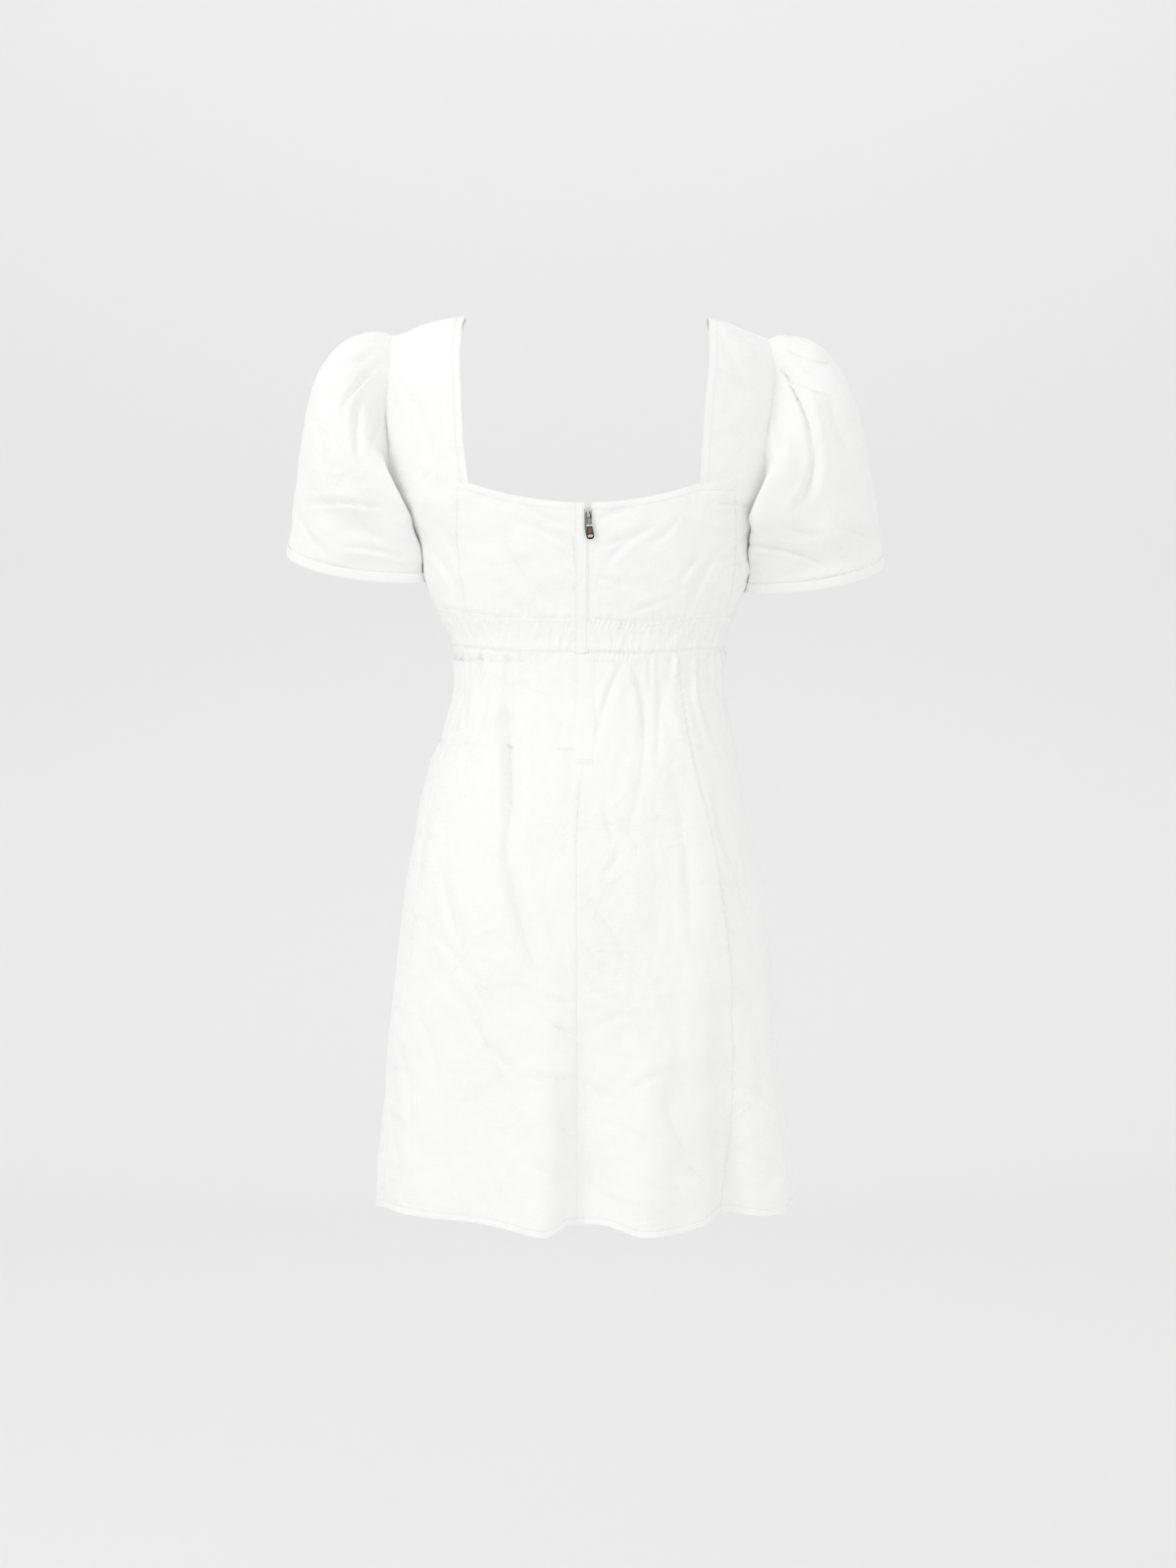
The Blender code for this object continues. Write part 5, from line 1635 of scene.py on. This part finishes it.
# %% [markdown]
# A crease that is too fine for the mesh is a thin line where a soft noise passes its middle value.
# Patches of a slower noise leave stretches of the cloth without such lines.

# %% Creased cloth
creased, given, gives = new_group(
    "Creased cloth",
    (("Creases per metre", "Float", 24.0), ("Sharpness", "Float", 2.2)),
    (("Height", "Float"),),
)
place = add_node(creased, "TexCoord", {}).outputs["Object"]
layers = []
for finer, weight in ((1.0, 1.0), (2.2, 0.45)):
    scale = maths(creased, "MULTIPLY", given["Creases per metre"], finer)
    middle = maths(creased, "SUBTRACT", noise(creased, place, scale, 1.5, 0.5), 0.5)
    away = maths(creased, "MULTIPLY", maths(creased, "ABSOLUTE", middle), 5.0)
    line = maths(creased, "MAXIMUM", maths(creased, "SUBTRACT", 1.0, away), 0.0)
    line = maths(creased, "POWER", line, given["Sharpness"])
    layers.append(maths(creased, "MULTIPLY", line, weight))
patch_scale = maths(creased, "MULTIPLY", given["Creases per metre"], 0.4)
patches = stretched(creased, noise(creased, place, patch_scale, 1.0), 0.38, 0.62)
feed(creased, maths(creased, "MULTIPLY", maths(creased, "ADD", *layers), patches), gives["Height"])
print("crease layers:", len(layers))

# %% [markdown]
# Metal that is handled gets bright where it is rubbed, so one noise mixes a dark and a bright
# colour and also sets the roughness.

# %% Worn metal
wear, given, gives = new_group(
    "Worn metal",
    (
        ("Dark", "Color", (0.05, 0.05, 0.05, 1)),
        ("Bright", "Color", (0.3, 0.3, 0.3, 1)),
        ("Spots per metre", "Float", 900.0),
    ),
    (("Colour", "Color"), ("Roughness", "Float"), ("Height", "Float")),
)
place = add_node(wear, "TexCoord", {}).outputs["Object"]
spots = noise(wear, place, given["Spots per metre"], 5.0)
rubbed = stretched(wear, spots, 0.35, 0.70)
roughness = maths(wear, "ADD", maths(wear, "MULTIPLY", rubbed, 0.25), 0.25)
feed(wear, blend(wear, rubbed, given["Dark"], given["Bright"]), gives["Colour"])
feed(wear, roughness, gives["Roughness"])
feed(wear, spots, gives["Height"])
print("groups:", [group.name for group in bpy.data.node_groups])

# %% [markdown]
# Cotton poplin is matt with a faint sheen from its loose fibres. The zip is dark gunmetal, and
# the pull tab's inset is a warmer brown.


# %% Materials
def new_material(name):
    material = bpy.data.materials.new(name)
    material.use_nodes = True
    return material, material.node_tree, material.node_tree.nodes["Principled BSDF"]


def add_bump(tree, shader, height, strength, distance):
    inputs = {"Height": height, "Strength": strength, "Distance": distance}
    bump = add_node(tree, "Bump", inputs)
    tree.links.new(bump.outputs["Normal"], shader.inputs["Normal"])


def woven(name, colour, slub_colour, threads_per_metre, strength, creases=0.0):
    """A matt cloth with its weave, and creases where it has any."""
    material, tree, shader = new_material(name)
    inputs = {
        "Place": add_node(tree, "UVMap", {}, uv_map="cloth_metres").outputs[0],
        "Threads per metre": threads_per_metre,
        "Colour": (*colour, 1),
        "Slub colour": (*slub_colour, 1),
    }
    threads = add_node(tree, "Group", inputs, node_tree=weave).outputs
    lines = add_node(tree, "Group", {}, node_tree=creased).outputs
    tree.links.new(threads["Colour"], shader.inputs["Base Color"])
    shader.inputs["Roughness"].default_value = 0.88
    shader.inputs["Specular IOR Level"].default_value = 0.25
    shader.inputs["Sheen Weight"].default_value = 0.12
    shader.inputs["Sheen Roughness"].default_value = 0.5
    low = maths(tree, "MULTIPLY", lines["Height"], creases)
    fine = maths(tree, "MULTIPLY", threads["Height"], 0.04 * strength)
    add_bump(tree, shader, maths(tree, "ADD", low, fine), 1.0, 0.001)
    return material


def metal(name, dark, bright, spots):
    """A metal that is bright where it is rubbed."""
    material, tree, shader = new_material(name)
    inputs = {"Dark": (*dark, 1), "Bright": (*bright, 1), "Spots per metre": spots}
    worn = add_node(tree, "Group", inputs, node_tree=wear).outputs
    tree.links.new(worn["Colour"], shader.inputs["Base Color"])
    tree.links.new(worn["Roughness"], shader.inputs["Roughness"])
    shader.inputs["Metallic"].default_value = 0.9
    add_bump(tree, shader, worn["Height"], 0.3, 0.0001)
    return material


WHITE, WHITE_SLUB = (0.90, 0.90, 0.895), (0.865, 0.865, 0.86)
finishes = {
    "cotton": woven("Cotton poplin", WHITE, WHITE_SLUB, 2600.0, 0.6, creases=0.65),
    "thread": woven("Sewing thread", (0.88, 0.88, 0.875), (0.80, 0.80, 0.795), 4000.0, 0.3),
    "tape": woven("Zip tape", (0.84, 0.84, 0.83), (0.76, 0.76, 0.75), 1400.0, 0.6),
    "gunmetal": metal("Dark gunmetal", (0.012, 0.012, 0.013), (0.07, 0.07, 0.072), 1400.0),
    "link": metal("Mottled gunmetal", (0.02, 0.02, 0.02), (0.55, 0.55, 0.54), 900.0),
    "plate": metal("Bright worn metal", (0.45, 0.45, 0.44), (0.80, 0.80, 0.79), 900.0),
    "inset": metal("Brown inset", (0.08, 0.05, 0.04), (0.24, 0.18, 0.15), 1600.0),
}
special = {
    "woven_zip_tape": "tape",
    "pull_neck": "link",
    "pull_inset": "inset",
    "pull_band": "plate",
    "slider_plate": "plate",
    "slider_bridge": "plate",
}


def finish_of(name):
    if name in special:
        return special[name]
    if name.startswith("stitches"):
        return "thread"
    return "cotton" if name in made else "gunmetal"


for obj in bpy.context.scene.objects:
    if obj.type != "MESH" or obj.hide_render or obj.name in frame["nodes"]:
        continue
    obj.data.materials.clear()
    obj.data.materials.append(finishes[finish_of(obj.name)])
print("materials:", sorted(finishes))

# %% [markdown]
# ## Stage, light and camera
# A plain pale sweep lies under the dress and bends up into a wall far off, so no edge is seen.

# %% Stage
FLOOR_Z, HALF_WIDTH, FRONT_EDGE, WALL_TOP = -1.45, 5.0, -5.0, 4.0
BEND_START, BEND = 3.0, 1.2  # where the floor turns up into the wall, and with what radius
profile = [(FRONT_EDGE, FLOOR_Z), (BEND_START, FLOOR_Z)]
for t in np.linspace(0.1, math.pi / 2, 16):
    profile.append((BEND_START + BEND * math.sin(t), FLOOR_Z + BEND * (1 - math.cos(t))))
profile.append((BEND_START + BEND, WALL_TOP))
shape = bmesh.new()
sides = (-HALF_WIDTH, HALF_WIDTH)
rows = [[shape.verts.new((x, y, z)) for y, z in profile] for x in sides]
for k in range(len(profile) - 1):
    shape.faces.new((rows[0][k], rows[1][k], rows[1][k + 1], rows[0][k + 1]))
sweep = linked("sweep", mesh_from("sweep", shape))
sweep.data.shade_smooth()
material, tree, shader = new_material("Pale paper")
shader.inputs["Base Color"].default_value = (0.80, 0.80, 0.80, 1)
shader.inputs["Roughness"].default_value = 0.95
shader.inputs["Specular IOR Level"].default_value = 0.1
sweep.data.materials.append(material)
print("stage:", len(profile), "rows")

# %% [markdown]
# The light is broad and even: a bright surround, a soft key from the upper left, a weak fill, and
# a lamp of its own on the wall, which lies too far off for the others. The camera stands 3 m away
# on the side of the dress's back.

# %% Light and camera
world = bpy.data.worlds.new("Studio")
world.use_nodes = True
background = world.node_tree.nodes["Background"]
background.inputs["Color"].default_value = (1.0, 1.0, 1.0, 1)
background.inputs["Strength"].default_value = 0.945
bpy.context.scene.world = world

DRESS_MIDDLE, WALL_MIDDLE = Vector((0, 0, -0.4)), Vector((0, 3.8, -0.4))
Lamp = namedtuple("Lamp", "name x y z size power aim")
for lamp in (
    Lamp("key", -2.1, -1.7, 0.9, 1.2, 16.0, DRESS_MIDDLE),
    Lamp("fill", 1.4, -2.8, -0.9, 2.0, 11.0, DRESS_MIDDLE),
    Lamp("wall", 0.0, 2.2, 2.8, 3.0, 20.0, WALL_MIDDLE),
):
    data = bpy.data.lights.new(lamp.name, "AREA")
    data.size = lamp.size
    data.energy = lamp.power
    light = linked(lamp.name, data)
    light.location = (lamp.x, lamp.y, lamp.z)
    light.rotation_euler = (lamp.aim - light.location).to_track_quat("-Z", "Y").to_euler()

LOOK_AT = Vector((0.002, 0, -0.4257))
camera_data = bpy.data.cameras.new("camera")
camera_data.lens = 75.2
camera = linked("camera", camera_data)
camera.location = EYE
camera.rotation_euler = (LOOK_AT - EYE).to_track_quat("-Z", "Y").to_euler()
bpy.context.scene.camera = camera
bpy.context.scene.view_settings.view_transform = "Standard"
print("camera lens:", camera_data.lens, "mm")

# %% Finish
bpy.context.view_layer.update()
